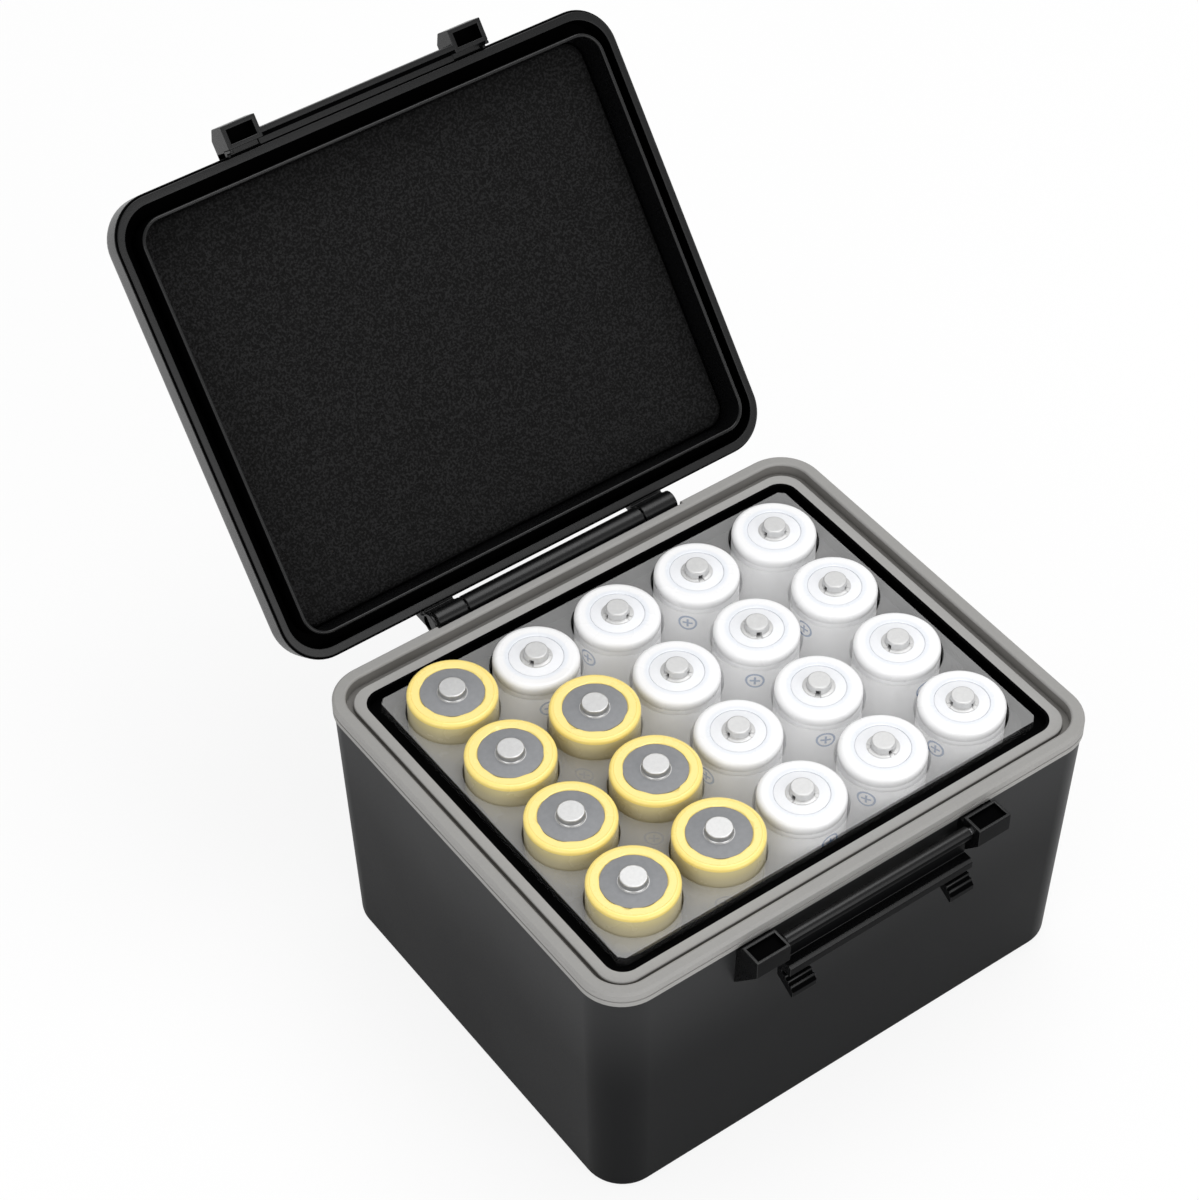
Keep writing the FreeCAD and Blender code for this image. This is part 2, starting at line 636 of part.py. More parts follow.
def can(radius, height, recess_radius, crimped, x, y):
    """Wrapped can with a recess for the cap, and a crimp line near its top on some cells."""
    top = FLOOR_THICKNESS + height
    foot = [
        (0, FLOOR_THICKNESS),
        (radius - CAN_FOOT_CHAMFER, FLOOR_THICKNESS),
        (radius, FLOOR_THICKNESS + CAN_FOOT_CHAMFER),
    ]
    shoulder = [
        (radius, top - CAN_SHOULDER),
        (radius - CAN_SHOULDER, top),
        (recess_radius, top),
        (recess_radius, top - CAP_RECESS_DEPTH),
        (0, top - CAP_RECESS_DEPTH),
    ]
    side = crimp_line(radius, top) if crimped else []
    return revolved(foot + side + shoulder, x, y)


def cap(height, recess_radius, nub_radius, nub_taper, nub_height, x, y):
    """End cap: a thin plate in the recess with a tapered contact nub."""
    top = FLOOR_THICKNESS + height
    plate_low = top - CAP_RECESS_DEPTH
    plate_high = plate_low + CAP_PLATE_THICKNESS
    return revolved([
        (0, plate_low),
        (recess_radius - CAP_CLEARANCE, plate_low),
        (recess_radius - CAP_CLEARANCE, plate_high),
        (nub_radius, plate_high),
        (nub_radius - nub_taper, top + nub_height),
        (0, top + nub_height),
    ], x, y)


def yellow_cell(name, x, y):
    body = can(YELLOW_RADIUS, YELLOW_HEIGHT, YELLOW_RECESS_RADIUS, False, x, y)
    end = cap(
        YELLOW_HEIGHT, YELLOW_RECESS_RADIUS, YELLOW_NUB_RADIUS, YELLOW_NUB_TAPER, YELLOW_NUB_HEIGHT, x, y)
    return [(name + "_can", body), (name + "_cap", end)]


def white_cell(name, x, y):
    body = can(WHITE_RADIUS, WHITE_HEIGHT, WHITE_RECESS_RADIUS, True, x, y)
    end = cap(WHITE_HEIGHT, WHITE_RECESS_RADIUS, WHITE_NUB_RADIUS, WHITE_NUB_TAPER, WHITE_NUB_HEIGHT, x, y)
    return [(name + "_can", body), (name + "_cap", end)]


def cells():
    """All cells as (name, shape), named by column letter and row number."""
    pieces = []
    for column, row, x, y in cell_centres():
        name = "cell_" + "abcdefgh"[column] + str(row + 1)
        second = column == YELLOW_COLUMN + 1 and row in YELLOW_SECOND_COLUMN_ROWS
        if column == YELLOW_COLUMN or second:
            pieces += yellow_cell(name, x, y)
        else:
            pieces += white_cell(name, x, y)
    return pieces


PIECES = [
    ("body_shell", body_shell()),
    ("rim_frame", rim_frame()),
    ("rim_seal", rim_seal()),
    ("cell_tray", cell_tray()),
    ("lid_shell", lid_shell()),
    ("lid_foam", lid_foam()),
    ("hinge_pin", hinge_pin()),
    ("latch_pin", latch_pin()),
    ("latch_clasp", latch_clasp()),
] + cells()

for name, shape in PIECES:
    shape.exportStep("parts/" + name + ".step")
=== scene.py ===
import logging
import math
from dataclasses import dataclass, field
from enum import Enum
from typing import Callable, Iterator, Sequence, Union

import bmesh
import bpy
from mathutils import Matrix, Vector


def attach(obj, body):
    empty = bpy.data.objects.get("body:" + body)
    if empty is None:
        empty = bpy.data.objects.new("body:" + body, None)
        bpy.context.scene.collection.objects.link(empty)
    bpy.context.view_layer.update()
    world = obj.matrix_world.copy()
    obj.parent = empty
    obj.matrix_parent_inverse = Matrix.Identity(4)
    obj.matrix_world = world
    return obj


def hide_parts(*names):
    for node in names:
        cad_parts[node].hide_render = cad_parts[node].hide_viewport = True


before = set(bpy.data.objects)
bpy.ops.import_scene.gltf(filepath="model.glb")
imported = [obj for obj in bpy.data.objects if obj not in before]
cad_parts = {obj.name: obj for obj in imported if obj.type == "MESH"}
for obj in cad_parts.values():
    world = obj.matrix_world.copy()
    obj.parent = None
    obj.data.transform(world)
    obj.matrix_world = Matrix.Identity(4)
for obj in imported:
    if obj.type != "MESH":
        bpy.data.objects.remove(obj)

log = logging.getLogger("storage_case")

# Units, spans round a curve, tolerances in millimetres, and short names for types

METRES = 0.001
PER_METRE = 1000.0
CORNER_STEPS = 14
BORE_STEPS = 56
TURN_STEPS = 72
ROD_STEPS = 40
NEAR = 1e-3
WELD = 1e-4
BESIDE = 0.05
Vert = bmesh.types.BMVert
Face = bmesh.types.BMFace
Piece = bpy.types.Object
Point = tuple[float, float]
Triple = tuple[float, float, float]
Colour = Triple
Ring = tuple["Outline", float]
Feed = Union["Value", bpy.types.NodeSocket, float, Sequence[float]]
Feeds = Union[dict[Union[int, str], Feed], Sequence[Feed], None]
Settings = Union[dict[str, object], None]


# Shared sizes, in millimetres

@dataclass(frozen=True)
class Outline:
    """A rounded rectangle about the z axis."""

    half_x: float
    half_y: float
    corner: float

    def grown(self, distance: float, corner: float) -> "Outline":
        """The outline with every side moved outwards and a new corner radius."""
        return Outline(self.half_x + distance, self.half_y + distance, corner)

    def shrunk(self, distance: float) -> "Outline":
        """The outline moved inwards, with its corners kept parallel."""
        return self.grown(-distance, self.corner - distance)

    def outside_by(self, point: Vector) -> float:
        """Distance from the outline.

        Args:
            point: A point, whose height does not matter.

        Returns:
            How far the point lies outside, negative inside.
        """
        past_x = abs(point.x) - (self.half_x - self.corner)
        past_y = abs(point.y) - (self.half_y - self.corner)
        return math.hypot(max(past_x, 0), max(past_y, 0)) + min(max(past_x, past_y), 0) - self.corner

    def rolled(
        self, radius: float, turn: Point, steps: int, z: float, share: float = 1.0, side: int = 1,
    ) -> list[Ring]:
        """Follows a rounded edge that ends flush with the outline.

        Args:
            radius: Radius of the edge.
            turn: First and last angle of its arc, in degrees.
            steps: Number of spans.
            z: Height of the arc's centre.
            share: How fast the corner radius shrinks with the inset.
            side: 1 for an edge inside the outline, -1 for one outside it.

        Returns:
            Outlines with their heights.
        """
        rings = []
        for reach, rise in arc((0, 0), radius, *turn, steps):
            inset = side * (radius - reach)
            rings.append((self.grown(-inset, self.corner - inset * share), z + rise))
        return rings


@dataclass(frozen=True)
class Place:
    """One place in the cell grid."""

    column: int
    row: int
    x: float
    y: float

    @property
    def name(self) -> str:
        """Body name of the cell that stands here."""
        return "cell_" + "abcde"[self.column] + str(self.row + 1)

    @property
    def seed(self) -> float:
        """A number from -1 to 1 that differs from cell to cell."""
        return math.sin(self.x / GRID.pitch_x * SEED_COLUMN + self.y / GRID.pitch_y * SEED_ROW)


@dataclass(frozen=True)
class CellGrid:
    """The grid that the cells stand in, columns left to right and rows back to front."""

    columns: int = 5
    rows: int = 4
    pitch_x: float = 20.4
    pitch_y: float = 20.15

    def places(self) -> Iterator[Place]:
        """Goes through the grid column by column.

        Returns:
            The places, one after another.
        """
        for column in range(self.columns):
            for row in range(self.rows):
                x = (column - (self.columns - 1) / 2) * self.pitch_x
                y = ((self.rows - 1) / 2 - row) * self.pitch_y
                yield Place(column, row, x, y)


GRID = CellGrid()
TRAY_EDGE = Outline(51.65, 41.075, 1.2)
LEDGE_INSIDE = Outline(54.45, 43.875, 4.1)
LEDGE_OUTSIDE = LEDGE_INSIDE.grown(2.26, 5.4)
STEP = LEDGE_OUTSIDE.grown(1.43, 6.6)
RIM = STEP.grown(2.78, 9.4)
BODY_HEIGHT = 61.56
LEDGE_Z = 63.25
RIM_TOP_Z = 65.0
HINGE = (52.925, 62.87)
LATCH = (-53.595, 60.6)
BLOCK_INNER_X = 23.3
BLOCK_OUTER_X = 31.3
BLOCK_FRONT_Y = -56.395
BLOCK_BACK_Y = -(RIM.half_y + 1.1)
RIM_CLEAR = 0.4
HINGE_RADIUS = 2.5
LID_OPEN_ANGLE = 128.2
YELLOW_RADIUS = 9.2
YELLOW_TOP = 68.65
WHITE_RADIUS = 8.95
WHITE_TOP = 66.3
VENT_COUNT = 3
VENT_HIGH = 1.1
SEED_COLUMN = 1.7
SEED_ROW = 2.9


# Mesh building

class Mould:
    """A mesh under construction, in millimetres until it becomes a piece."""

    def __init__(self) -> None:
        """Starts an empty mesh."""
        self.bm = bmesh.new()

    def bevel(
        self, geom: Sequence[object], width: float, steps: int, affect: str = "EDGES", clamp: bool = True,
    ) -> None:
        """Rounds chosen edges or corners by a width, with so many faces across."""
        bmesh.ops.bevel(
            self.bm, geom=geom, offset=width, offset_type="OFFSET", segments=steps, profile=0.5,
            affect=affect, clamp_overlap=clamp, material=-1)

    def move(self, x: float, y: float) -> None:
        """Moves everything sideways."""
        bmesh.ops.translate(self.bm, verts=list(self.bm.verts), vec=(x, y, 0))

    def loop(self, outline: Outline, z: float) -> list[Vert]:
        """Adds a loop of edges round an outline.

        Args:
            outline: The rounded rectangle to follow.
            z: Height of the loop.

        Returns:
            The points of the loop, anticlockwise from the left side.
        """
        before = set(self.bm.faces)
        verts = bmesh.ops.create_grid(self.bm, x_segments=1, y_segments=1, size=1.0)["verts"]
        bmesh.ops.scale(self.bm, verts=verts, vec=(outline.half_x, outline.half_y, 1))
        bmesh.ops.translate(self.bm, verts=verts, vec=(0, 0, z))
        self.bevel(verts, outline.corner, CORNER_STEPS, "VERTICES", False)
        face = (set(self.bm.faces) - before).pop()
        points = sorted(face.verts, key=lambda vert: math.atan2(vert.co.y, vert.co.x))
        bmesh.ops.delete(self.bm, geom=[face], context="FACES_ONLY")
        return points

    def skin(self, rings: Sequence[Ring], closed: bool = False) -> list[list[Vert]]:
        """Joins a row of outlines, each to the next.

        Args:
            rings: Outlines with their heights, in order along the surface.
            closed: Whether the last outline joins the first.

        Returns:
            The loops of points, in the same order.
        """
        loops = [self.loop(outline, z) for outline, z in rings]
        pairs = list(zip(loops, loops[1:]))
        if closed:
            pairs.append((loops[-1], loops[0]))
        for first, second in pairs:
            for index in range(len(first)):
                self.bm.faces.new((first[index - 1], first[index], second[index], second[index - 1]))
        return loops

    def vessel(self, rings: Sequence[Ring]) -> None:
        """Joins a row of outlines and closes both ends.

        Args:
            rings: Outlines with their heights, in order along the surface.
        """
        loops = self.skin(rings)
        self.bm.faces.new(loops[0])
        self.bm.faces.new(loops[-1])

    def section(self, points: Sequence[Point], low_x: float, high_x: float) -> list[Face]:
        """Adds a bar along X from a closed row of (y, z) points.

        Args:
            points: Corners of the cross-section.
            low_x: Left end.
            high_x: Right end.

        Returns:
            The faces of the bar.
        """
        before = set(self.bm.faces)
        face = self.bm.faces.new([self.bm.verts.new((low_x, y, z)) for y, z in points])
        made = bmesh.ops.extrude_face_region(self.bm, geom=[face])["geom"]
        moved = [item for item in made if isinstance(item, Vert)]
        bmesh.ops.translate(self.bm, verts=moved, vec=(high_x - low_x, 0, 0))
        faces = list(set(self.bm.faces) - before)
        bmesh.ops.recalc_face_normals(self.bm, faces=faces)
        return faces

    def pocket(self, faces: Sequence[Face], normal: Vector, frame_width: float, depth: float) -> None:
        """Sinks a framed pocket into the face of a bar that looks along a direction, with painted shade on
        its floor and walls.

        Args:
            faces: Faces of the bar.
            normal: Direction that the chosen face looks in.
            frame_width: Width of the frame left round the pocket.
            depth: Depth of the pocket.
        """
        target = max(faces, key=lambda face: (face.normal.dot(normal), face.calc_area()))
        bmesh.ops.inset_individual(self.bm, faces=[target], thickness=frame_width, use_even_offset=True)
        made = bmesh.ops.extrude_discrete_faces(self.bm, faces=[target])["faces"]
        bmesh.ops.translate(self.bm, verts=list(made[0].verts), vec=-normal * depth)
        # Painted shade: the pocket's floor and walls get the near-black finish.
        for face in {face for edge in made[0].edges for face in edge.link_faces}:
            face.material_index = PAINTED_SHADE

    def rod(self, radius: float, low_x: float, high_x: float, centre: Point) -> None:
        """Adds a round bar along X.

        Args:
            radius: Its radius.
            low_x: Left end.
            high_x: Right end.
            centre: Its axis as (y, z).
        """
        turn = Matrix.Rotation(math.pi / 2, 4, "Y")
        place = Matrix.Translation(((low_x + high_x) / 2, centre[0], centre[1]))
        bmesh.ops.create_cone(
            self.bm, cap_ends=True, segments=ROD_STEPS, radius1=radius, radius2=radius,
            depth=high_x - low_x, matrix=place @ turn)

    def turned(self, profile: Sequence[Point]) -> None:
        """Turns a (radius, z) profile about the z axis.

        Args:
            profile: Points from the axis at the foot to the axis at the top.
        """
        verts = [self.bm.verts.new((radius, 0, z)) for radius, z in profile]
        edges = [self.bm.edges.new(pair) for pair in zip(verts, verts[1:])]
        bmesh.ops.spin(
            self.bm, geom=verts + edges, cent=(0, 0, 0), axis=(0, 0, 1), dvec=(0, 0, 0), angle=2 * math.pi,
            steps=TURN_STEPS, use_merge=True, use_duplicate=False)
        bmesh.ops.remove_doubles(self.bm, verts=list(self.bm.verts), dist=WELD)

    def bored_sheet(self, edge: Outline, bore: float, top: float, thickness: float) -> None:
        """Adds a plate with a round bore at each place of the cell grid.

        Args:
            edge: Outline of the plate, whose corners are cut straight.
            bore: Radius of each bore.
            top: Height of the upper face.
            thickness: Thickness of the plate.
        """
        old = set(self.bm.verts)
        before = set(self.bm.faces)
        for place in GRID.places():
            low_x = -edge.half_x if place.column == 0 else place.x - GRID.pitch_x / 2
            high_x = edge.half_x if place.column == GRID.columns - 1 else place.x + GRID.pitch_x / 2
            low_y = -edge.half_y if place.row == GRID.rows - 1 else place.y - GRID.pitch_y / 2
            high_y = edge.half_y if place.row == 0 else place.y + GRID.pitch_y / 2
            known = set(self.bm.faces)
            corners = bmesh.ops.create_grid(self.bm, x_segments=1, y_segments=1, size=0.5)["verts"]
            bmesh.ops.scale(self.bm, verts=corners, vec=(high_x - low_x, high_y - low_y, 1))
            middle = ((low_x + high_x) / 2, (low_y + high_y) / 2, top)
            bmesh.ops.translate(self.bm, verts=corners, vec=middle)
            face = (set(self.bm.faces) - known).pop()
            bmesh.ops.subdivide_edges(self.bm, edges=list(face.edges), cuts=BORE_STEPS // 4 - 1)
            square = list(face.edges)
            bmesh.ops.delete(self.bm, geom=[face], context="FACES_ONLY")
            ring_verts = bmesh.ops.create_circle(
                self.bm, cap_ends=False, radius=bore, segments=BORE_STEPS,
                matrix=Matrix.Translation((place.x, place.y, top)))["verts"]
            ring = list({item for vert in ring_verts for item in vert.link_edges})
            bmesh.ops.bridge_loops(self.bm, edges=square + ring)
        bmesh.ops.remove_doubles(self.bm, verts=list(set(self.bm.verts) - old), dist=NEAR)
        deck = list(set(self.bm.faces) - before)
        made = bmesh.ops.extrude_face_region(self.bm, geom=deck)["geom"]
        moved = [item for item in made if isinstance(item, Vert)]
        bmesh.ops.translate(self.bm, verts=moved, vec=(0, 0, -thickness))
        uprights = [
            item for item in self.bm.edges
            if all(abs(abs(vert.co.x) - edge.half_x) < NEAR and abs(abs(vert.co.y) - edge.half_y) < NEAR
                   for vert in item.verts)]
        self.bevel(uprights, edge.corner, 1)

    def soften(self, width: float, steps: int = 2, angle: float = 30.0, level: float | None = None) -> None:
        """Rounds every edge that is sharper than an angle.

        Args:
            width: Size of the rounding.
            steps: Faces across the rounding.
            angle: Smallest turn, in degrees, that is rounded.
            level: Height of the edges that are rounded, or None for all heights.
        """
        bmesh.ops.recalc_face_normals(self.bm, faces=list(self.bm.faces))
        limit = math.radians(angle)
        sharp = [item for item in self.bm.edges if item.is_manifold and item.calc_face_angle() > limit]
        if level is not None:
            sharp = [item for item in sharp if all(abs(vert.co.z - level) < NEAR for vert in item.verts)]
        self.bevel(sharp, width, steps)

    def swing(self, centre: Point, degrees: float) -> None:
        """Turns everything about a line along X that passes through (y, z), right-handed."""
        bmesh.ops.rotate(
            self.bm, cent=(0, centre[0], centre[1]), matrix=Matrix.Rotation(math.radians(degrees), 3, "X"),
            verts=list(self.bm.verts))

    def mark(self, slot: int, chosen: Callable[[Face], bool]) -> None:
        """Gives another finish to some faces.

        Args:
            slot: Place of the finish in the list that the piece gets.
            chosen: Tells which faces get it.
        """
        for face in self.bm.faces:
            if chosen(face):
                face.material_index = slot

    def absorb(self, other: "Mould") -> None:
        """Takes in the mesh of another mould.

        Args:
            other: The mould, which is used up.
        """
        mesh = bpy.data.meshes.new("absorbed")
        other.bm.to_mesh(mesh)
        other.bm.free()
        self.bm.from_mesh(mesh)
        bpy.data.meshes.remove(mesh)

    def piece(
        self, name: str, finishes: Sequence["Finish"], sharp_angle: float = 40.0, even: bool = True,
    ) -> Piece:
        """Turns the mesh into a finished object in metres.

        Args:
            name: Name of the object.
            finishes: Its surface, and further ones for marked faces if there are any.
            sharp_angle: Turn, in degrees, past which an edge shades sharp.
            even: Whether flat faces keep flat shading beside their rounded edges.

        Returns:
            The object, placed by its mesh.
        """
        bmesh.ops.recalc_face_normals(self.bm, faces=list(self.bm.faces))
        bmesh.ops.scale(self.bm, verts=list(self.bm.verts), vec=(METRES, METRES, METRES))
        mesh = bpy.data.meshes.new(name)
        self.bm.to_mesh(mesh)
        self.bm.free()
        for polygon in mesh.polygons:
            polygon.use_smooth = True
        mesh.set_sharp_from_angle(angle=math.radians(sharp_angle))
        obj = bpy.data.objects.new(name, mesh)
        bpy.context.scene.collection.objects.link(obj)
        for finish in finishes:
            mesh.materials.append(finish.material())
        if even:
            shading = obj.modifiers.new("even_shading", "WEIGHTED_NORMAL")
            shading.keep_sharp = True
        return obj


def arc(centre: Point, radius: float, start: float, end: float, steps: int) -> list[Point]:
    """Points along an arc of a profile.

    Args:
        centre: Centre of the arc.
        radius: Its radius.
        start: First angle in degrees.
        end: Last angle in degrees.
        steps: Number of spans.

    Returns:
        The points, both ends included.
    """
    points = []
    for step in range(steps + 1):
        angle = math.radians(start + (end - start) * step / steps)
        points.append((centre[0] + radius * math.cos(angle), centre[1] + radius * math.sin(angle)))
    return points


# Shader building

class Value:
    """A shader socket that can be used in Python expressions."""

    def __init__(self, board: "Board", socket: bpy.types.NodeSocket) -> None:
        """Wraps a socket of a board."""
        self.board = board
        self.socket = socket

    def math(self, operation: str, *others: Feed) -> "Value":
        """Result of a Math node on this value and further operands."""
        return self.board.value("ShaderNodeMath", {"operation": operation}, (self, *others))

    def __add__(self, other: Feed) -> "Value":
        """Sum."""
        return self.math("ADD", other)

    __radd__ = __add__

    def __sub__(self, other: Feed) -> "Value":
        """Difference."""
        return self.math("SUBTRACT", other)

    def __rsub__(self, other: Feed) -> "Value":
        """Reflected difference."""
        return self.board.value("ShaderNodeMath", {"operation": "SUBTRACT"}, (other, self))

    def __mul__(self, other: Feed) -> "Value":
        """Product."""
        return self.math("MULTIPLY", other)

    __rmul__ = __mul__

    def __truediv__(self, other: Feed) -> "Value":
        """Quotient."""
        return self.math("DIVIDE", other)

    def __abs__(self) -> "Value":
        """Size without sign."""
        return self.math("ABSOLUTE")

    def ramp(self, low: float, high: float) -> "Value":
        """Smooth step from 0 at low to 1 at high."""
        feeds = {"Value": self, "From Min": low, "From Max": high}
        return self.board.value("ShaderNodeMapRange", {"interpolation_type": "SMOOTHSTEP"}, feeds)

    def band(self, top: float, below: Point) -> "Value":
        """Smooth step between two depths below a top value."""
        return self.ramp(top - below[0], top - below[1])


class Board:
    """The node tree of one material or world."""

    def __init__(self, owner: Union[bpy.types.Material, bpy.types.World]) -> None:
        """Empties the node tree of its owner.

        Args:
            owner: The material or world.
        """
        owner.use_nodes = True
        self.tree = owner.node_tree
        self.tree.nodes.clear()

    def node(self, kind: str, settings: Settings = None, feeds: Feeds = None) -> bpy.types.Node:
        """Adds a node.

        Args:
            kind: The node's type.
            settings: Its own settings, set first.
            feeds: Values or links for its sockets, by name or in order.

        Returns:
            The node.
        """
        node = self.tree.nodes.new(kind)
        for key, setting in (settings or {}).items():
            setattr(node, key, setting)
        pairs = feeds.items() if isinstance(feeds, dict) else enumerate(feeds or ())
        for key, feed in pairs:
            socket = node.inputs[key]
            if isinstance(feed, Value):
                self.tree.links.new(feed.socket, socket)
            elif isinstance(feed, bpy.types.NodeSocket):
                self.tree.links.new(feed, socket)
            else:
                socket.default_value = feed
        return node

    def value(
        self, kind: str, settings: Settings = None, feeds: Feeds = None, output: Union[int, str] = 0,
    ) -> Value:
        """Adds a node and takes one of its outputs."""
        return Value(self, self.node(kind, settings, feeds).outputs[output])

    def place(self) -> Value:
        """Object coordinates."""
        return self.value("ShaderNodeTexCoord", output="Object")

    def axes(self) -> tuple[Value, Value, Value]:
        """Object coordinates as three numbers."""
        split = self.node("ShaderNodeSeparateXYZ", None, (self.place(),))
        return Value(self, split.outputs[0]), Value(self, split.outputs[1]), Value(self, split.outputs[2])

    def noise(self, scale: float, detail: float = 2.0, roughness: float = 0.5) -> Value:
        """Noise over the object, about 0 to 1, with scale as features per metre."""
        feeds = {"Vector": self.place(), "Scale": scale, "Detail": detail, "Roughness": roughness}
        return self.value("ShaderNodeTexNoise", None, feeds)

    def blend(self, share: Feed, first: Feed, second: Feed) -> Value:
        """Mix of two colours, by the share of the second."""
        ends = [(*end, 1.0) if isinstance(end, tuple) else end for end in (first, second)]
        return self.value("ShaderNodeMix", {"data_type": "RGBA"}, {0: share, 6: ends[0], 7: ends[1]}, 2)

    def bump(self, height: Value, strength: float, distance: float) -> Value:
        """Normal of a surface whose height of 1 is a distance in metres."""
        feeds = {"Height": height, "Strength": strength, "Distance": distance}
        return self.value("ShaderNodeBump", None, feeds)

    def surface(self, feeds: Feeds) -> None:
        """Ends a material in a Principled surface with these values or links."""
        shader = self.node("ShaderNodeBsdfPrincipled", None, feeds)
        self.node("ShaderNodeOutputMaterial", None, {"Surface": shader.outputs[0]})

    def shown_white(self, direct: float, mirrored: float) -> Value:
        """Share of plain white in the background, by the kind of ray that sees it.

        Args:
            direct: Share for camera rays.
            mirrored: Share for glossy and transmission rays.

        Returns:
            The share, 0 for all other rays.
        """
        rays = self.node("ShaderNodeLightPath")
        kinds = ("Is Camera Ray", "Is Glossy Ray", "Is Transmission Ray")
        camera, glossy, through = (Value(self, rays.outputs[kind]) for kind in kinds)
        return (camera * direct).math("MAXIMUM", glossy.math("MAXIMUM", through) * mirrored)


class Finish:
    """A surface that is made once and shared."""

    name: str
    _made: dict[str, bpy.types.Material] = {}

    def material(self) -> bpy.types.Material:
        """Makes the material at first use.

        Returns:
            The material, the same one at every later use.
        """
        if self.name not in Finish._made:
            Finish._made[self.name] = bpy.data.materials.new(self.name)
            self.paint(Board(Finish._made[self.name]))
        return Finish._made[self.name]

    def paint(self, board: Board) -> None:
        """Builds the material on a board; every finish has its own."""
        raise NotImplementedError


@dataclass(frozen=True)
class SatinPlastic(Finish):
    """Moulded charcoal plastic with a fine spark-eroded grain, and painted sheen towards the top where a
    sheen colour is given.
    """

    name: str = "charcoal_satin"
    dark: Colour = (0.0018, 0.0019, 0.0021)
    light: Colour = (0.0034, 0.0035, 0.0038)
    roughness: float = 0.28
    gloss: float = 0.28
    grain: float = 2600.0
    # Colour of the painted sheen, reached between the two heights below; None for no painted sheen.
    dust_and_sheen: Colour | None = None
    sheen_low: float = 30.0
    sheen_high: float = 66.0

    def paint(self, board: Board) -> None:
        """Builds the material.

        Args:
            board: The board to add the nodes to.
        """
        cloud = board.noise(45.0, 3.0)
        grain = board.noise(self.grain, 2.0, 0.6)
        colour = board.blend(cloud * 0.6 + grain * 0.4, self.dark, self.light)
        # Painted sheen: the colour turns paler with height towards the top.
        if self.dust_and_sheen:
            height = board.axes()[2] * PER_METRE
            colour = board.blend(height.ramp(self.sheen_low, self.sheen_high), colour, self.dust_and_sheen)
        rough = self.roughness + (cloud - 0.5) * 0.10 + (grain - 0.5) * 0.12
        board.surface({
            "Base Color": colour,
            "Roughness": rough,
            "Normal": board.bump(grain, 0.22, 0.00004),
            "Specular IOR Level": self.gloss,
        })


@dataclass(frozen=True)
class SoftSeal(Finish):
    """Matt grey silicone with a faint dusty mottle."""

    name: str = "grey_silicone"
    dark: Colour = (0.262, 0.257, 0.248)
    light: Colour = (0.327, 0.322, 0.311)

    def paint(self, board: Board) -> None:
        """Builds the material.

        Args:
            board: The board to add the nodes to.
        """
        dust_and_sheen = board.noise(70.0, 4.0, 0.6)
        speck = board.noise(1900.0, 2.0)
        colour = board.blend(dust_and_sheen * 0.6 + speck * 0.4, self.dark, self.light)
        board.surface({
            "Base Color": colour,
            "Roughness": 0.62 + (dust_and_sheen - 0.5) * 0.14,
            "Normal": board.bump(speck, 0.16, 0.00004),
            "IOR": 1.42,
        })


@dataclass(frozen=True)
class SmokyPlastic(Finish):
    """Translucent smoky plastic with faint flow marks."""

    name: str = "smoky_plastic"
    dark: Colour = (0.80, 0.80, 0.80)
    light: Colour = (0.88, 0.88, 0.88)
    cover: float = 0.26
    gloss: float = 0.5

    def paint(self, board: Board) -> None:
        """Builds the material.

        Args:
            board: The board to add the nodes to.
        """
        flow = board.noise(55.0, 4.0, 0.55)
        grain = board.noise(2200.0, 1.0)
        board.surface({
            "Base Color": board.blend(flow, self.dark, self.light),
            "Roughness": 0.30 + (grain - 0.5) * 0.12,
            "Alpha": self.cover + (flow - 0.5) * 0.04,
            "Normal": board.bump(grain, 0.08, 0.00003),
            "Specular IOR Level": self.gloss,
        })


@dataclass(frozen=True)
class OpenFoam(Finish):
    """Black open-cell foam: dark pores between paler threads."""

    name: str = "black_foam"
    pore: Colour = (0.0005, 0.0005, 0.0005)
    thread: Colour = (0.0130, 0.0130, 0.0134)

    def paint(self, board: Board) -> None:
        """Builds the material.

        Args:
            board: The board to add the nodes to.
        """
        fine = board.noise(2000.0, 2.0, 0.6)
        coarse = board.noise(1000.0, 2.0)
        speck = (fine * 0.75 + coarse * 0.25).ramp(0.42, 0.64)
        board.surface({
            "Base Color": board.blend(speck, self.pore, self.thread),
            "Roughness": 0.92 + (coarse - 0.5) * 0.1,
            "Normal": board.bump(fine, 0.75, 0.00045),
            "Specular IOR Level": 0.2,
        })


@dataclass(frozen=True)
class PinSteel(Finish):
    """Drawn steel with lines along the pin."""

    name: str = "pin_steel"
    dark: Colour = (0.42, 0.42, 0.43)
    light: Colour = (0.62, 0.62, 0.63)
    stretch: Triple = (0.04, 1.0, 1.0)
    line_scale: float = 4000.0

    def paint(self, board: Board) -> None:
        """Builds the material.

        Args:
            board: The board to add the nodes to.
        """
        feeds = {"Vector": board.place(), "Scale": self.stretch}
        stretched = board.value("ShaderNodeMapping", {"vector_type": "POINT"}, feeds)
        feeds = {"Vector": stretched, "Scale": self.line_scale, "Detail": 2.0}
        lines = board.value("ShaderNodeTexNoise", None, feeds)
        board.surface({
            "Base Color": board.blend(lines, self.dark, self.light),
            "Metallic": 1.0,
            "Roughness": 0.28 + lines * 0.18,
            "Normal": board.bump(lines, 0.1, 0.00002),
        })


class CellKind(Enum):
    """The two kinds of cell in the tray, by the colour of their wrap."""

    YELLOW = "yellow"
    WHITE = "white"


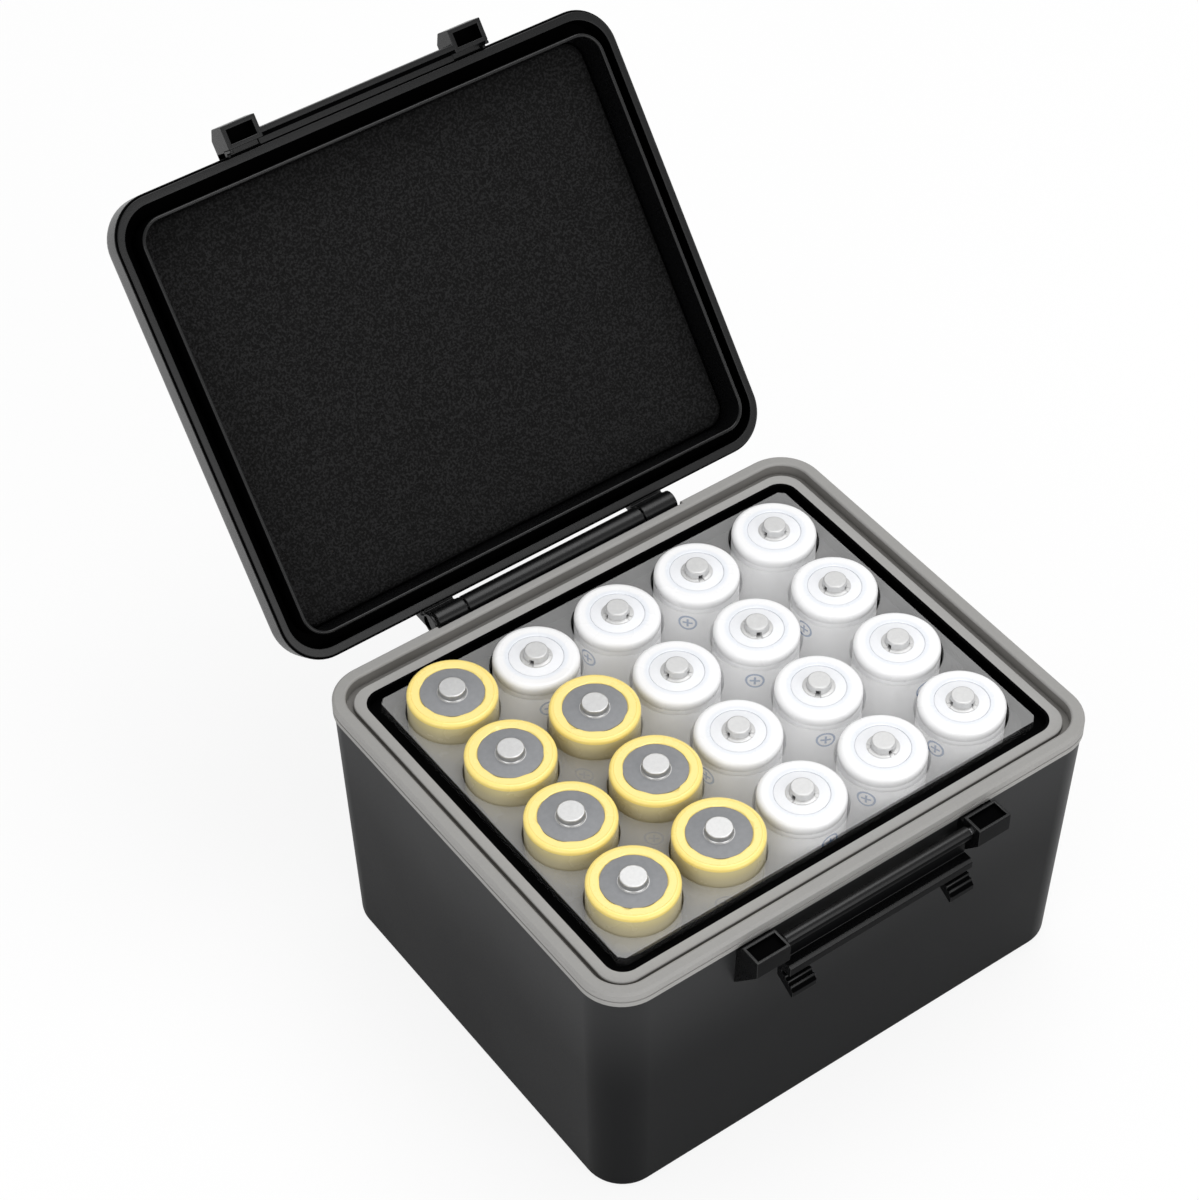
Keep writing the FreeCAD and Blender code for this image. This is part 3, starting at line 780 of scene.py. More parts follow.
@dataclass(frozen=True)
class CellPlace:
    """Shader numbers for a point on a cell: place about its own axis, in millimetres and radians."""

    radius: Value
    angle: Value
    height: Value
    seed: Value

    @classmethod
    def on(cls, board: Board) -> "CellPlace":
        """Works the numbers out from Object coordinates.

        Args:
            board: The board to add the nodes to.

        Returns:
            The numbers.
        """
        x, y, z = board.axes()
        column = (x / (GRID.pitch_x * METRES)).math("ROUND")
        row = (y / (GRID.pitch_y * METRES)).math("FLOOR") + 0.5
        across = (x - column * (GRID.pitch_x * METRES)) * PER_METRE
        back = (y - row * (GRID.pitch_y * METRES)) * PER_METRE
        radius = (across * across + back * back).math("SQRT")
        angle = back.math("ARCTAN2", across)
        seed = (column * SEED_COLUMN + row * SEED_ROW).math("SINE")
        return cls(radius, angle, z * PER_METRE, seed)


@dataclass(frozen=True)
class ShrinkWrap(Finish):
    """Printed shrink wrap with a plus mark in a ring on its side."""

    name: str
    # The side colours are painted darker and duller than the crown over the top, as painted shade on the
    # upright side.
    crown: Colour
    side: Colour
    side_shade: Colour
    # Colour the side fades to with depth, as painted shade; for the white wrap it is no darker.
    side_deep_shade: Colour
    ink: Colour
    top_ring: Colour
    ring_radius: float
    cell_radius: float
    top: float
    mark_below_top: float
    mark_turn: float = -2.25
    mark_spread: float = 0.75
    mark_ring: float = 1.8
    mark_stroke: Point = (0.16, 0.30)
    mark_arm: Point = (1.0, 1.15)
    side_band: Point = (1.0, 0.6)
    deep_shade_band: Point = (4.6, 0.9)
    crown_band: Point = (1.2, 0.95)
    top_band: Point = (0.5, 0.2)
    ring_blur: Point = (0.4, 1.3)
    roughness: float = 0.27

    def mark(self, place: CellPlace) -> Value:
        """Mask of the plus mark in its ring.

        Args:
            place: Place on the cell.

        Returns:
            1 on the mark, 0 off it.
        """
        along = (place.angle - (place.seed * self.mark_spread + self.mark_turn)) * self.cell_radius
        up = place.height - (self.top - self.mark_below_top)
        far = (along * along + up * up).math("SQRT")
        ring = 1 - abs(far - self.mark_ring).ramp(*self.mark_stroke)
        upright = (1 - abs(along).ramp(*self.mark_stroke)) * (1 - abs(up).ramp(*self.mark_arm))
        level = (1 - abs(up).ramp(*self.mark_stroke)) * (1 - abs(along).ramp(*self.mark_arm))
        side = place.radius.band(self.cell_radius, self.side_band)
        return ring.math("MAXIMUM", upright.math("MAXIMUM", level)) * side

    def paint(self, board: Board) -> None:
        """Builds the material.

        Args:
            board: The board to add the nodes to.
        """
        place = CellPlace.on(board)
        film = board.noise(160.0, 3.0)
        grain = board.noise(2400.0, 1.0)
        colour = board.blend(film * 0.7 + grain * 0.3, self.side, self.side_shade)
        # Painted shade: the side turns darker and greyer with depth below the top.
        shade_share = 1 - place.height.band(self.top, self.deep_shade_band)
        colour = board.blend(shade_share, colour, self.side_deep_shade)
        # The crown is brighter than the side colours, which carry painted shade of the upright side.
        colour = board.blend(place.height.band(self.top, self.crown_band), colour, self.crown)
        on_top = place.height.band(self.top, self.top_band)
        ring = (1 - abs(place.radius - self.ring_radius).ramp(*self.ring_blur)) * on_top
        colour = board.blend(ring * (0.6 + film * 0.4), colour, self.top_ring)
        colour = board.blend(self.mark(place), colour, self.ink)
        board.surface({
            "Base Color": colour,
            "Roughness": self.roughness + (film - 0.5) * 0.12,
            "Normal": board.bump(film, 0.12, 0.0002),
            "IOR": 1.5,
        })


@dataclass(frozen=True)
class EndCap(Finish):
    """Plated contact nub in the middle of an insulating washer."""

    name: str
    washer: Colour
    washer_shade: Colour
    nub_radius: float
    vents: bool
    top: float
    plate_dark: Colour
    plate_light: Colour
    metal_share: float
    nub_edge: Point = (-0.05, -0.2)
    vent_width: Point = (0.86, 0.90)
    vent_foot: Point = (-0.02, -0.12)
    vent_head: Point = (0.1, -0.02)
    vent_shade_colour: Colour = (0.085, 0.085, 0.088)

    def paint(self, board: Board) -> None:
        """Builds the material.

        Args:
            board: The board to add the nodes to.
        """
        place = CellPlace.on(board)
        metal = 1 - place.radius.band(self.nub_radius, self.nub_edge)
        brushed = board.noise(1400.0, 3.0, 0.6)
        paper = board.noise(900.0, 3.0, 0.6)
        plated = board.blend(brushed, self.plate_dark, self.plate_light)
        card = board.blend(paper, self.washer, self.washer_shade)
        colour = board.blend(metal, card, plated)
        shiny = metal * self.metal_share
        # Painted shade: the vent slots at the foot of the nub are painted dark.
        if self.vents:
            lobes = ((place.angle + place.seed) * VENT_COUNT).math("COSINE").ramp(*self.vent_width)
            high = place.height.band(self.top + VENT_HIGH, self.vent_head)
            slot = lobes * (1 - high) * place.height.band(self.top, self.vent_foot) * metal
            colour = board.blend(slot, colour, self.vent_shade_colour)
            shiny = shiny * (1 - slot)
        board.surface({
            "Base Color": colour,
            "Metallic": shiny,
            "Roughness": 0.62 - metal * 0.22 + (brushed - 0.5) * 0.16,
            "Normal": board.bump(brushed, 0.12, 0.00004),
        })


SATIN = SatinPlastic()
# The walls: a paler, less glossy lit copy of the charcoal plastic, with painted sheen that grows towards
# the rim.
WALL_SATIN = SatinPlastic(
    "charcoal_wall_painted_sheen", (0.0056, 0.0058, 0.0062), (0.0084, 0.0087, 0.0093), 0.36, 0.045,
    dust_and_sheen=(0.0270, 0.0275, 0.0283))
# Near-black copy of the charcoal plastic: painted shade in pockets, in the lid's channel and rebate, behind
# the ledge lip, between the clasp's ribs and on the rim frame.
SHADE_SATIN = SatinPlastic("charcoal_painted_shade", (0.0005, 0.0005, 0.0006), (0.0012, 0.0012, 0.0013), 0.6, 0.01)
SEAL = SoftSeal()
# Darker copy of the grey silicone: painted shade down in the groove.
SEAL_SHADE = SoftSeal("grey_silicone_groove_shade", (0.158, 0.152, 0.143), (0.200, 0.193, 0.182))
# Paler copy of the grey silicone: painted light on the flat ledge.
SEAL_LIT_LEDGE = SoftSeal("grey_silicone_ledge_lit", (0.305, 0.300, 0.291), (0.380, 0.375, 0.364))
SMOKE = SmokyPlastic()
SMOKE_EDGE = SmokyPlastic("smoky_plastic_edge", cover=0.03, gloss=0.02)
FOAM = OpenFoam()
STEEL = PinSteel()
FLAT_SATIN = SatinPlastic("charcoal_flat", roughness=0.42, gloss=0.03)
# Charcoal finishes by slot: plastic, painted shade, walls with painted sheen, duller flat faces.
CHARCOAL = (SATIN, SHADE_SATIN, WALL_SATIN, FLAT_SATIN)
PAINTED_SHADE, WALL, FLAT = 1, 2, 3
# Grey ring finishes by slot: silicone, painted shade in the groove, painted light on the ledge.
GREY_RING = (SEAL, SEAL_SHADE, SEAL_LIT_LEDGE)
GROOVE_SHADE, LIT_LEDGE = 1, 2
DECK = (SMOKE, SMOKE_EDGE)
DECK_EDGE = 1
FRONT_LIMIT = -0.9


def faces_front(face: Face) -> bool:
    """Whether a face without a special finish looks straight to the front."""
    return face.material_index == 0 and face.normal.y < FRONT_LIMIT


# Sub-assemblies

def settle(obj: Piece, body: str, slot: str, *nodes: str) -> None:
    """Puts a finished piece on its body in place of its CAD nodes.

    Args:
        obj: The piece.
        body: The body it rides on.
        slot: The record's material slot; not used.
        nodes: The nodes that it stands for.
    """
    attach(obj, body)
    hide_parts(*nodes)
    log.info("%s: %d faces on %s", obj.name, len(obj.data.polygons), body)


@dataclass
class Tub:
    """The charcoal tub with its latch brackets and the middle hinge barrel."""

    rim_gap: float = 0.34
    top_corner: float = 9.1
    foot_corner: float = 8.5
    inner_top_corner: float = 7.1
    inner_foot_corner: float = 7.0
    draft: float = 1.8
    wall: float = 2.0
    floor: float = 2.0
    foot_round: float = 1.2
    cup_depth: float = 0.8
    cup_radius: float = 9.6
    cup_sheet: Outline = Outline(56.0, 45.6, 6.0)
    root_y: float = 48.9
    root_gap: float = 0.25
    bracket_top: float = 62.71
    bracket_face: float = 4.3
    bracket_foot: Point = (-49.7, 50.56)
    bracket_frame: float = 0.7
    bracket_pocket: float = 1.0
    barrel_half: float = 22.4
    web_inset: float = 1.77
    web_foot: Point = (49.8, 54.56)
    edge_round: float = 0.18

    def shell(self) -> Mould:
        """Builds the drafted walls and the floor with its cups.

        Returns:
            The mould.
        """
        top = RIM.grown(-self.rim_gap, self.top_corner)
        foot = top.grown(-self.draft, self.foot_corner)
        rings = foot.rolled(self.foot_round, (-90, 0), 5, self.foot_round)
        rings += [
            (top, BODY_HEIGHT), (top.grown(-self.wall, self.inner_top_corner), BODY_HEIGHT),
            (foot.grown(-self.wall, self.inner_foot_corner), self.floor),
        ]
        mould = Mould()
        mould.vessel(rings)
        cups = Mould()
        cups.bored_sheet(self.cup_sheet, self.cup_radius, self.floor + self.cup_depth, self.cup_depth)
        mould.absorb(cups)
        return mould

    def fittings(self) -> Mould:
        """Builds the two brackets and the hinge barrel.

        Returns:
            The mould.
        """
        mould = Mould()
        under = BODY_HEIGHT - self.root_gap
        bracket = [
            (-self.root_y, under), (BLOCK_BACK_Y, under), (BLOCK_BACK_Y, self.bracket_top),
            (BLOCK_FRONT_Y, self.bracket_top), (BLOCK_FRONT_Y, self.bracket_top - self.bracket_face),
            self.bracket_foot, (-self.root_y, self.bracket_foot[1]),
        ]
        for ends in ((BLOCK_INNER_X, BLOCK_OUTER_X), (-BLOCK_OUTER_X, -BLOCK_INNER_X)):
            faces = mould.section(bracket, *ends)
            mould.pocket(faces, Vector((0, 0, 1)), self.bracket_frame, self.bracket_pocket)
        web = [
            (self.root_y, under), (HINGE[0] - self.web_inset, under), HINGE,
            (HINGE[0] + HINGE_RADIUS, HINGE[1]), self.web_foot, (self.root_y, self.web_foot[1]),
        ]
        mould.section(web, -self.barrel_half, self.barrel_half)
        mould.rod(HINGE_RADIUS, -self.barrel_half, self.barrel_half, HINGE)
        mould.soften(self.edge_round, 3)
        mould.mark(FLAT, faces_front)
        return mould

    def build(self) -> None:
        """Builds and dresses the tub."""
        mould = self.shell()
        # Painted sheen: the whole shell gets the wall finish, paler towards the rim.
        mould.mark(WALL, lambda face: True)
        mould.absorb(self.fittings())
        settle(mould.piece("tub", CHARCOAL), "case", "charcoal_plastic", "body_shell")


@dataclass
class RimSeal:
    """The grey soft ring with its rounded crown, groove and ledge."""

    chamfer: float = 0.5
    bead_depth: float = 0.25
    bead_low: float = 62.7
    bead_high: float = 63.1
    crown_round: float = 0.5
    groove_floor: float = 62.1
    ledge_round: float = 0.2
    edge_round: float = 0.08
    notch_depth: float = 0.65
    notch_half: float = 31.2
    notch_reach: float = 1.0

    def shaded(self, face: Face) -> bool:
        """Tells whether a face lies down in the groove, where shade is painted.

        Args:
            face: The face.

        Returns:
            True for the floor and the walls, below the rounding of the crown.
        """
        middle = face.calc_center_median()
        in_groove = LEDGE_OUTSIDE.outside_by(middle) > -BESIDE and STEP.outside_by(middle) < BESIDE
        return in_groove and middle.z < RIM_TOP_Z - self.crown_round

    def notch(self, mould: Mould) -> None:
        """Steps the back of the ring in to leave room for the hinge.

        Args:
            mould: The mould of the ring.
        """
        bm = mould.bm
        for x in (self.notch_half, self.notch_half + self.edge_round):
            for side in (1, -1):
                everything = list(bm.verts) + list(bm.edges) + list(bm.faces)
                bmesh.ops.bisect_plane(bm, geom=everything, plane_co=(side * x, 0, 0), plane_no=(1, 0, 0))
        pressed = [
            vert for vert in bm.verts
            if abs(vert.co.x) < self.notch_half + BESIDE and vert.co.y > RIM.half_y - self.notch_reach]
        bmesh.ops.translate(bm, verts=pressed, vec=(0, -self.notch_depth, 0))

    def build(self) -> None:
        """Builds and dresses the ring."""
        bead = RIM.shrunk(self.bead_depth)
        rings = [
            (RIM, BODY_HEIGHT), (RIM, self.bead_low), (bead, self.bead_low), (bead, self.bead_high),
            (RIM, self.bead_high), (RIM, RIM_TOP_Z - self.chamfer), (RIM.shrunk(self.chamfer), RIM_TOP_Z),
        ]
        rings += STEP.rolled(self.crown_round, (90, 0), 5, RIM_TOP_Z - self.crown_round, side=-1)
        rings += [
            (STEP, self.groove_floor), (LEDGE_OUTSIDE, self.groove_floor),
            (LEDGE_OUTSIDE, LEDGE_Z - self.ledge_round), (LEDGE_OUTSIDE.shrunk(self.ledge_round), LEDGE_Z),
            (LEDGE_INSIDE, LEDGE_Z), (LEDGE_INSIDE, BODY_HEIGHT),
        ]
        mould = Mould()
        mould.skin(rings, closed=True)
        mould.soften(self.edge_round, 3)
        self.notch(mould)
        # Painted light: the flat ledge gets the paler silicone.
        mould.mark(LIT_LEDGE, lambda face: LEDGE_OUTSIDE.outside_by(face.calc_center_median()) < -BESIDE)
        # Painted shade: the groove's floor and walls get the darker silicone.
        mould.mark(GROOVE_SHADE, self.shaded)
        settle(mould.piece("rim_ring", GREY_RING), "case", "grey_silicone", "rim_seal")


@dataclass
class Tray:
    """The smoky deck with its bores."""

    bore: float = 9.5
    top: float = 63.55
    thickness: float = 2.5
    edge_round: float = 0.22
    edge_angle: float = 50.0
    edge_tilt: float = 0.7

    def build(self) -> None:
        """Builds and dresses the deck."""
        mould = Mould()
        mould.bored_sheet(TRAY_EDGE, self.bore, self.top, self.thickness)
        mould.soften(self.edge_round, 2, self.edge_angle, level=self.top)
        mould.mark(DECK_EDGE, lambda face: face.normal.z < self.edge_tilt)
        settle(mould.piece("deck", DECK), "case", "smoky_plastic", "cell_tray")


@dataclass
class Lid:
    """The lid with its sealing rib, catch and hinge knuckles, drawn shut and swung open."""

    lip_z: float = 65.15
    height: float = 9.85
    draft: float = 0.3
    top_round: float = 4.6
    top_share: float = 0.95
    roof: float = 1.8
    rebate: float = 0.45
    rebate_height: float = 0.5
    channel: float = 5.0
    channel_lit: float = 0.5
    rib_tip: float = 63.4
    rib_thickness: float = 0.8
    rib_round: float = 0.48
    root_inset: float = 0.8
    arm_height: float = 3.2
    right_knuckle: Point = (22.8, 31.0)
    left_knuckle: Point = (-29.9, -22.8)
    cheek: Point = (-31.0, -30.4)
    catch_low: float = 63.21
    catch_high: float = 70.4
    catch_shelf: float = 1.0
    catch_slope: float = 2.2
    catch_frame: float = 1.0
    catch_pocket: float = 3.3
    catch_web: float = 0.8
    ledge_top: float = 66.2
    ledge_front: float = -53.395
    ledge_thickness: float = 0.55
    ledge_lip: float = 1.2
    ledge_shade: float = 0.9
    ledge_overlap: float = 0.3
    edge_round: float = 0.2
    lip: Outline = Outline(RIM.half_x - 0.3, RIM.half_y, 9.4)
    band: Outline = RIM.grown(-2.25, 7.6)
    rib: Outline = LEDGE_INSIDE.grown(1.45, 5.4)

    def dome(self) -> Mould:
        """Builds the outer dome, the lip, the channel, the rib and the hollow.

        Returns:
            The mould.
        """
        top_z = self.lip_z + self.height
        channel_top = self.lip_z + self.channel
        inner_lip = self.lip.shrunk(self.rebate)
        rib_inside = self.rib.shrunk(self.rib_thickness)
        outer = [
            (inner_lip, self.lip_z), (inner_lip, self.lip_z + self.rebate_height),
            (self.lip, self.lip_z + self.rebate_height),
        ]
        upper = self.lip.shrunk(self.draft)
        outer += upper.rolled(self.top_round, (0, 90), 8, top_z - self.top_round, self.top_share)
        inner = [
            (self.band, self.lip_z), (self.band, channel_top), (self.rib, channel_top),
            (self.rib, self.rib_tip), (rib_inside, self.rib_tip), (rib_inside, top_z - self.roof),
        ]
        mould = Mould()
        mould.vessel(outer[::-1] + inner)
        mould.soften(self.rib_thickness * self.rib_round, 4, level=self.rib_tip)
        mould.soften(self.edge_round, 3)
        # Painted shade in the channel and the rebate.
        mould.mark(PAINTED_SHADE, self.gets_painted_shade)
        return mould

    def gets_painted_shade(self, face: Face) -> bool:
        """Tells whether a face gets painted shade: deep in the channel inside the lip or in the rebate
        round it.

        Args:
            face: The face, with the lid shut.

        Returns:
            True for a face that gets little light, so its shade is painted with the near-black finish.
        """
        middle = face.calc_center_median()
        above_lip = middle.z - self.lip_z
        in_channel = self.rib.outside_by(middle) > -BESIDE and self.band.outside_by(middle) < BESIDE
        in_rebate = self.lip.outside_by(middle) + self.rebate > -BESIDE
        deep = in_channel and self.channel_lit < above_lip < self.channel + BESIDE
        return deep or (in_rebate and above_lip < self.rebate_height + BESIDE)

    def hinge_arms(self, mould: Mould) -> None:
        """Adds the knuckles, their arms and the closing cheek.

        Args:
            mould: The mould to add to.
        """
        inner_y = RIM.half_y + RIM_CLEAR
        root_y = self.lip.half_y - self.root_inset
        root_z = self.lip_z + self.rebate_height
        high_z = root_z + self.arm_height
        arm = [
            (inner_y, HINGE[1]), (inner_y, root_z), (root_y, root_z), (root_y, high_z),
            (self.lip.half_y, high_z), (HINGE[0] + HINGE_RADIUS, HINGE[1]),
        ]
        for ends in (self.right_knuckle, self.left_knuckle, self.cheek):
            mould.section(arm, *ends)
            mould.rod(HINGE_RADIUS, *ends, HINGE)

    def catch(self, mould: Mould) -> None:
        """Adds the two guard blocks with their webs.

        Args:
            mould: The mould to add to.
        """
        root_y = self.root_inset - self.lip.half_y
        web_y = -(RIM.half_y + RIM_CLEAR)
        shelf = self.lip_z + self.catch_shelf
        block = [
            (root_y, shelf), (BLOCK_BACK_Y, shelf), (BLOCK_BACK_Y, self.catch_low),
            (BLOCK_FRONT_Y, self.catch_low), (BLOCK_FRONT_Y, self.catch_high - self.catch_slope),
            (BLOCK_FRONT_Y + self.catch_slope, self.catch_high), (root_y, self.catch_high),
        ]
        web = [
            (root_y, self.lip_z + self.rebate_height), (web_y, self.lip_z), (web_y, self.catch_low),
            (BLOCK_BACK_Y, self.catch_low), (BLOCK_BACK_Y, self.catch_high), (root_y, self.catch_high),
        ]
        for side in (1, -1):
            faces = mould.section(block, *sorted((side * BLOCK_INNER_X, side * BLOCK_OUTER_X)))
            mould.pocket(faces, Vector((0, 0, -1)), self.catch_frame, self.catch_pocket)
            mould.section(web, *sorted((side * (BLOCK_OUTER_X - self.catch_web), side * BLOCK_OUTER_X)))

    def ledge(self, mould: Mould) -> None:
        """Adds the catch ledge between the blocks, with a strip of painted shade behind its lip.

        Args:
            mould: The mould to add to.
        """
        root_y = self.root_inset - self.lip.half_y
        under = self.ledge_top - self.ledge_thickness
        lip_back = self.ledge_front + self.ledge_lip
        profile = [
            (root_y, self.ledge_top), (root_y, under), (lip_back + self.ledge_shade, under),
            (lip_back, under), (lip_back, self.catch_low), (self.ledge_front, self.catch_low),
            (self.ledge_front, self.ledge_top),
        ]
        half = BLOCK_INNER_X + self.ledge_overlap
        faces = mould.section(profile, -half, half)
        # Painted shade: the underside strip behind the lip gets the near-black finish.
        strip = Vector((lip_back + self.ledge_shade / 2, under))
        nearest = min(faces, key=lambda face: (face.calc_center_median().yz - strip).length)
        nearest.material_index = PAINTED_SHADE

    def build(self) -> None:
        """Builds and dresses the lid."""
        mould = self.dome()
        extras = Mould()
        self.hinge_arms(extras)
        self.catch(extras)
        self.ledge(extras)
        extras.soften(self.edge_round, 3)
        mould.absorb(extras)
        mould.swing(HINGE, -LID_OPEN_ANGLE)
        settle(mould.piece("lid", CHARCOAL), "lid", "charcoal_plastic", "lid_shell")


@dataclass
class LidPad:
    """The foam pad in the roof of the lid, flat with a rounded edge."""

    top: float = 73.2
    thickness: float = 2.75
    edge: Outline = LEDGE_INSIDE.grown(0.35, 4.3)
    edge_round: float = 1.3
    edge_share: float = 0.8
    flat_inset: float = 6.0
    flat_corner: float = 1.0

    def build(self) -> None:
        """Builds and dresses the pad."""
        low = self.top - self.thickness
        rings = [(self.edge, self.top)]
        rings += self.edge.rolled(self.edge_round, (0, -90), 6, low + self.edge_round, self.edge_share)
        rings.append((self.edge.grown(-self.flat_inset, self.flat_corner), low))
        mould = Mould()
        mould.vessel(rings)
        mould.swing(HINGE, -LID_OPEN_ANGLE)
        pad = mould.piece("lid_pad", [FOAM], even=False)
        settle(pad, "lid", "black_foam", "lid_foam")


@dataclass
class Clasp:
    """The clasp, drawn hanging on its pin."""

    half: float = 22.7
    barrel_radius: float = 1.4
    plate_back: float = 1.6
    plate_front: float = 0.2
    lip_drop: float = 5.85
    lip_thickness: float = 3.0
    lip_reach: float = 2.4
    lip_round: float = 0.6
    tab_inner: float = 16.8
    tab_drop: float = 14.2
    tab_reach: float = 3.4
    tab_thickness: float = 2.2
    rib_size: float = 0.4
    rib_count: int = 3
    edge_round: float = 0.14

    def plate(self, mould: Mould) -> None:
        """Adds the plate with its hooked lip and the barrel.

        Args:
            mould: The mould to add to.
        """
        y, z = LATCH
        top = z - self.lip_drop
        foot = top - self.lip_thickness
        front = y - self.lip_reach
        mould.section([
            (y + self.plate_back, z), (y + self.plate_back, foot), (front + self.lip_round, foot),
            (front, foot + self.lip_round), (front, top - self.lip_round), (front + self.lip_round, top),
            (y + self.plate_front, top), (y + self.plate_front, z),
        ], -self.half, self.half)
        mould.rod(self.barrel_radius, -self.half, self.half, LATCH)

    def tab(self, mould: Mould, low_x: float, high_x: float) -> None:
        """Adds one ribbed finger tab, with painted shade on the slope between its ribs.

        Args:
            mould: The mould to add to.
            low_x: Left end.
            high_x: Right end.
        """
        y, z = LATCH
        foot = z - self.lip_drop - self.lip_thickness
        front = y + self.plate_front
        tip_y = y - self.tab_reach
        tip_z = z - self.tab_drop
        top = foot - self.rib_size
        end = tip_z + self.tab_thickness - self.rib_size
        faces = mould.section([
            (y + self.plate_back, foot), (y + self.plate_back, top - self.tab_thickness),
            (tip_y + self.rib_size, tip_z), (tip_y, tip_z + self.rib_size), (tip_y, end), (front, top),
            (front, foot),
        ], low_x, high_x)
        # Painted shade between the ribs: the sloped face under them gets the near-black finish.
        slope = Vector((0, end - top, front - tip_y)).normalized()
        max(faces, key=lambda face: face.normal.dot(slope)).material_index = PAINTED_SHADE
        for index in range(self.rib_count):
            share = (index + 1) / (self.rib_count + 1)
            centre = (front + share * (tip_y - front), top + share * (end - top))
            mould.rod(self.rib_size, low_x, high_x, centre)

    def build(self) -> None:
        """Builds and dresses the clasp."""
        mould = Mould()
        self.plate(mould)
        self.tab(mould, self.tab_inner, self.half)
        self.tab(mould, -self.half, -self.tab_inner)
        mould.soften(self.edge_round, 3)
        mould.mark(FLAT, faces_front)
        settle(mould.piece("clasp", CHARCOAL), "clasp", "charcoal_plastic", "latch_clasp")


@dataclass(frozen=True)
class CellDesign:
    """Sizes and finishes of one kind of cell."""

    kind: CellKind
    radius: float
    top: float
    recess: float
    nub: float
    waist: float
    nub_top: float
    nub_round: float
    nub_height: float
    shoulder: float
    crimp: float
    wrap: ShrinkWrap
    cap: EndCap


@dataclass
class Cell:
    """One wrapped cell with its end cap."""

    place: Place
    design: CellDesign
    foot: float = 2.0
    foot_bevel: float = 0.6
    crimp_shape: tuple[Point, ...] = ((0, -0.4), (0.15, -0.15), (0.15, 0.15), (0, 0.4))
    fold_inset: float = 0.1
    fold_shape: tuple[Point, ...] = ((0.07, 0.09), (0.14, 0))
    lip_shape: tuple[Point, ...] = ((0.35, 0), (0.25, 0), (0.06, 0.08))
    well: float = 0.35
    crease_turn: Point = (2.1, 1.3)
    crease_zone: Point = (0.1, 0.4)
    crease_depth: float = 0.2
    crease_counts: tuple[int, int] = (5, 11)
    crease_waves: Point = (0.10, 0.06)
    notch_depth: float = 0.55
    notch_width: float = 0.10
    washer: float = 0.25
    washer_gap: float = 0.05
    washer_bevel: float = 0.1
    step_shape: tuple[Point, ...] = ((0.5, 0), (0.06, 0.05), (0, 0.24))
    step_high: float = 0.34
    crown_inset: float = 0.05
    crown_flat: float = 0.15
    vent_edge: float = 0.10
    vent_radius: float = 1.95
    vent_limit: float = 0.87
    vent_margin: float = 0.03
    wrap_angle: float = 50.0
    cap_angle: float = 30.0

    def can(self) -> Mould:
        """Builds the wrapped can.

        Returns:
            The can, about the z axis.
        """
        design = self.design
        r = design.radius
        top = design.top
        yellow = design.kind is CellKind.YELLOW
        profile = [(0, self.foot), (r - self.foot_bevel, self.foot), (r, self.foot + self.foot_bevel)]
        if design.crimp:
            profile += [(r - inward, top - design.crimp + up) for inward, up in self.crimp_shape]
        profile += arc((r - design.shoulder, top - design.shoulder), design.shoulder, 0, 90, 7)
        fold = r - design.shoulder - self.fold_inset
        profile += [(fold, top)]
        if yellow:
            profile += [(fold - inward, top - down) for inward, down in self.fold_shape]
        profile += [(design.recess + out, top - down) for out, down in self.lip_shape]
        profile += [(design.recess, top - self.well), (0, top - self.well)]
        mould = Mould()
        mould.turned(profile)
        if yellow:
            self.crease(mould)
        return mould

    def crease(self, mould: Mould) -> None:
        """Makes the inner edge of the folded wrap uneven, with one notch.

        Args:
            mould: The can, about the z axis.
        """
        turn = self.place.column * self.crease_turn[0] + self.place.row * self.crease_turn[1]
        low = self.design.recess - self.crease_zone[0]
        high = self.design.recess + self.crease_zone[1]
        for vert in mould.bm.verts:
            away = math.hypot(vert.co.x, vert.co.y)
            if low < away < high and vert.co.z > self.design.top - self.crease_depth:
                angle = math.atan2(vert.co.y, vert.co.x)
                wave = self.crease_waves[0] * math.sin(self.crease_counts[0] * angle + turn)
                wave += self.crease_waves[1] * math.sin(self.crease_counts[1] * angle - turn)
                gap = math.atan2(math.sin(angle - turn), math.cos(angle - turn))
                notch = self.notch_depth * math.exp(-(gap / self.notch_width) ** 2)
                vert.co.xy = vert.co.xy * ((away + wave + notch) / away)

    def vents(self, mould: Mould) -> None:
        """Presses the vent slots into the foot of the nub.

        Args:
            mould: The washer and the nub, about the z axis.
        """
        widest = self.design.nub + self.vent_margin
        highest = VENT_HIGH - self.vent_edge / 2
        for vert in mould.bm.verts:
            away = math.hypot(vert.co.x, vert.co.y)
            if self.vent_radius < away < widest and 0 < vert.co.z - self.design.top < highest:
                angle = math.atan2(vert.co.y, vert.co.x)
                if math.cos(VENT_COUNT * (angle + self.place.seed)) > self.vent_limit:
                    vert.co.xy = vert.co.xy * (self.vent_radius / away)

    def contact(self) -> Mould:
        """Builds the washer and the contact nub.

        Returns:
            Both in one mould, about the z axis.
        """
        design = self.design
        low = design.top - self.well
        plate = low + self.washer
        high = design.top + design.nub_height
        edge = design.recess - self.washer_gap
        profile = [(0, low), (edge, low), (edge, plate - self.washer_gap)]
        profile += [(edge - self.washer_bevel, plate)]
        profile += [(design.nub + out, plate + up) for out, up in self.step_shape]
        profile += [(design.waist, plate + self.step_high)]
        centre = (design.nub_top - self.crown_inset, high - design.nub_round)
        crown = arc(centre, design.nub_round, 0, 90, 4)
        if design.cap.vents:
            for z in (design.top + VENT_HIGH - self.vent_edge, design.top + VENT_HIGH):
                share = (z - profile[-1][1]) / (crown[0][1] - profile[-1][1])
                profile.append((profile[-1][0] + share * (crown[0][0] - profile[-1][0]), z))
        profile += crown + [(design.nub_top - self.crown_flat, high), (0, high)]
        mould = Mould()
        mould.turned(profile)
        if design.cap.vents:
            self.vents(mould)
        return mould

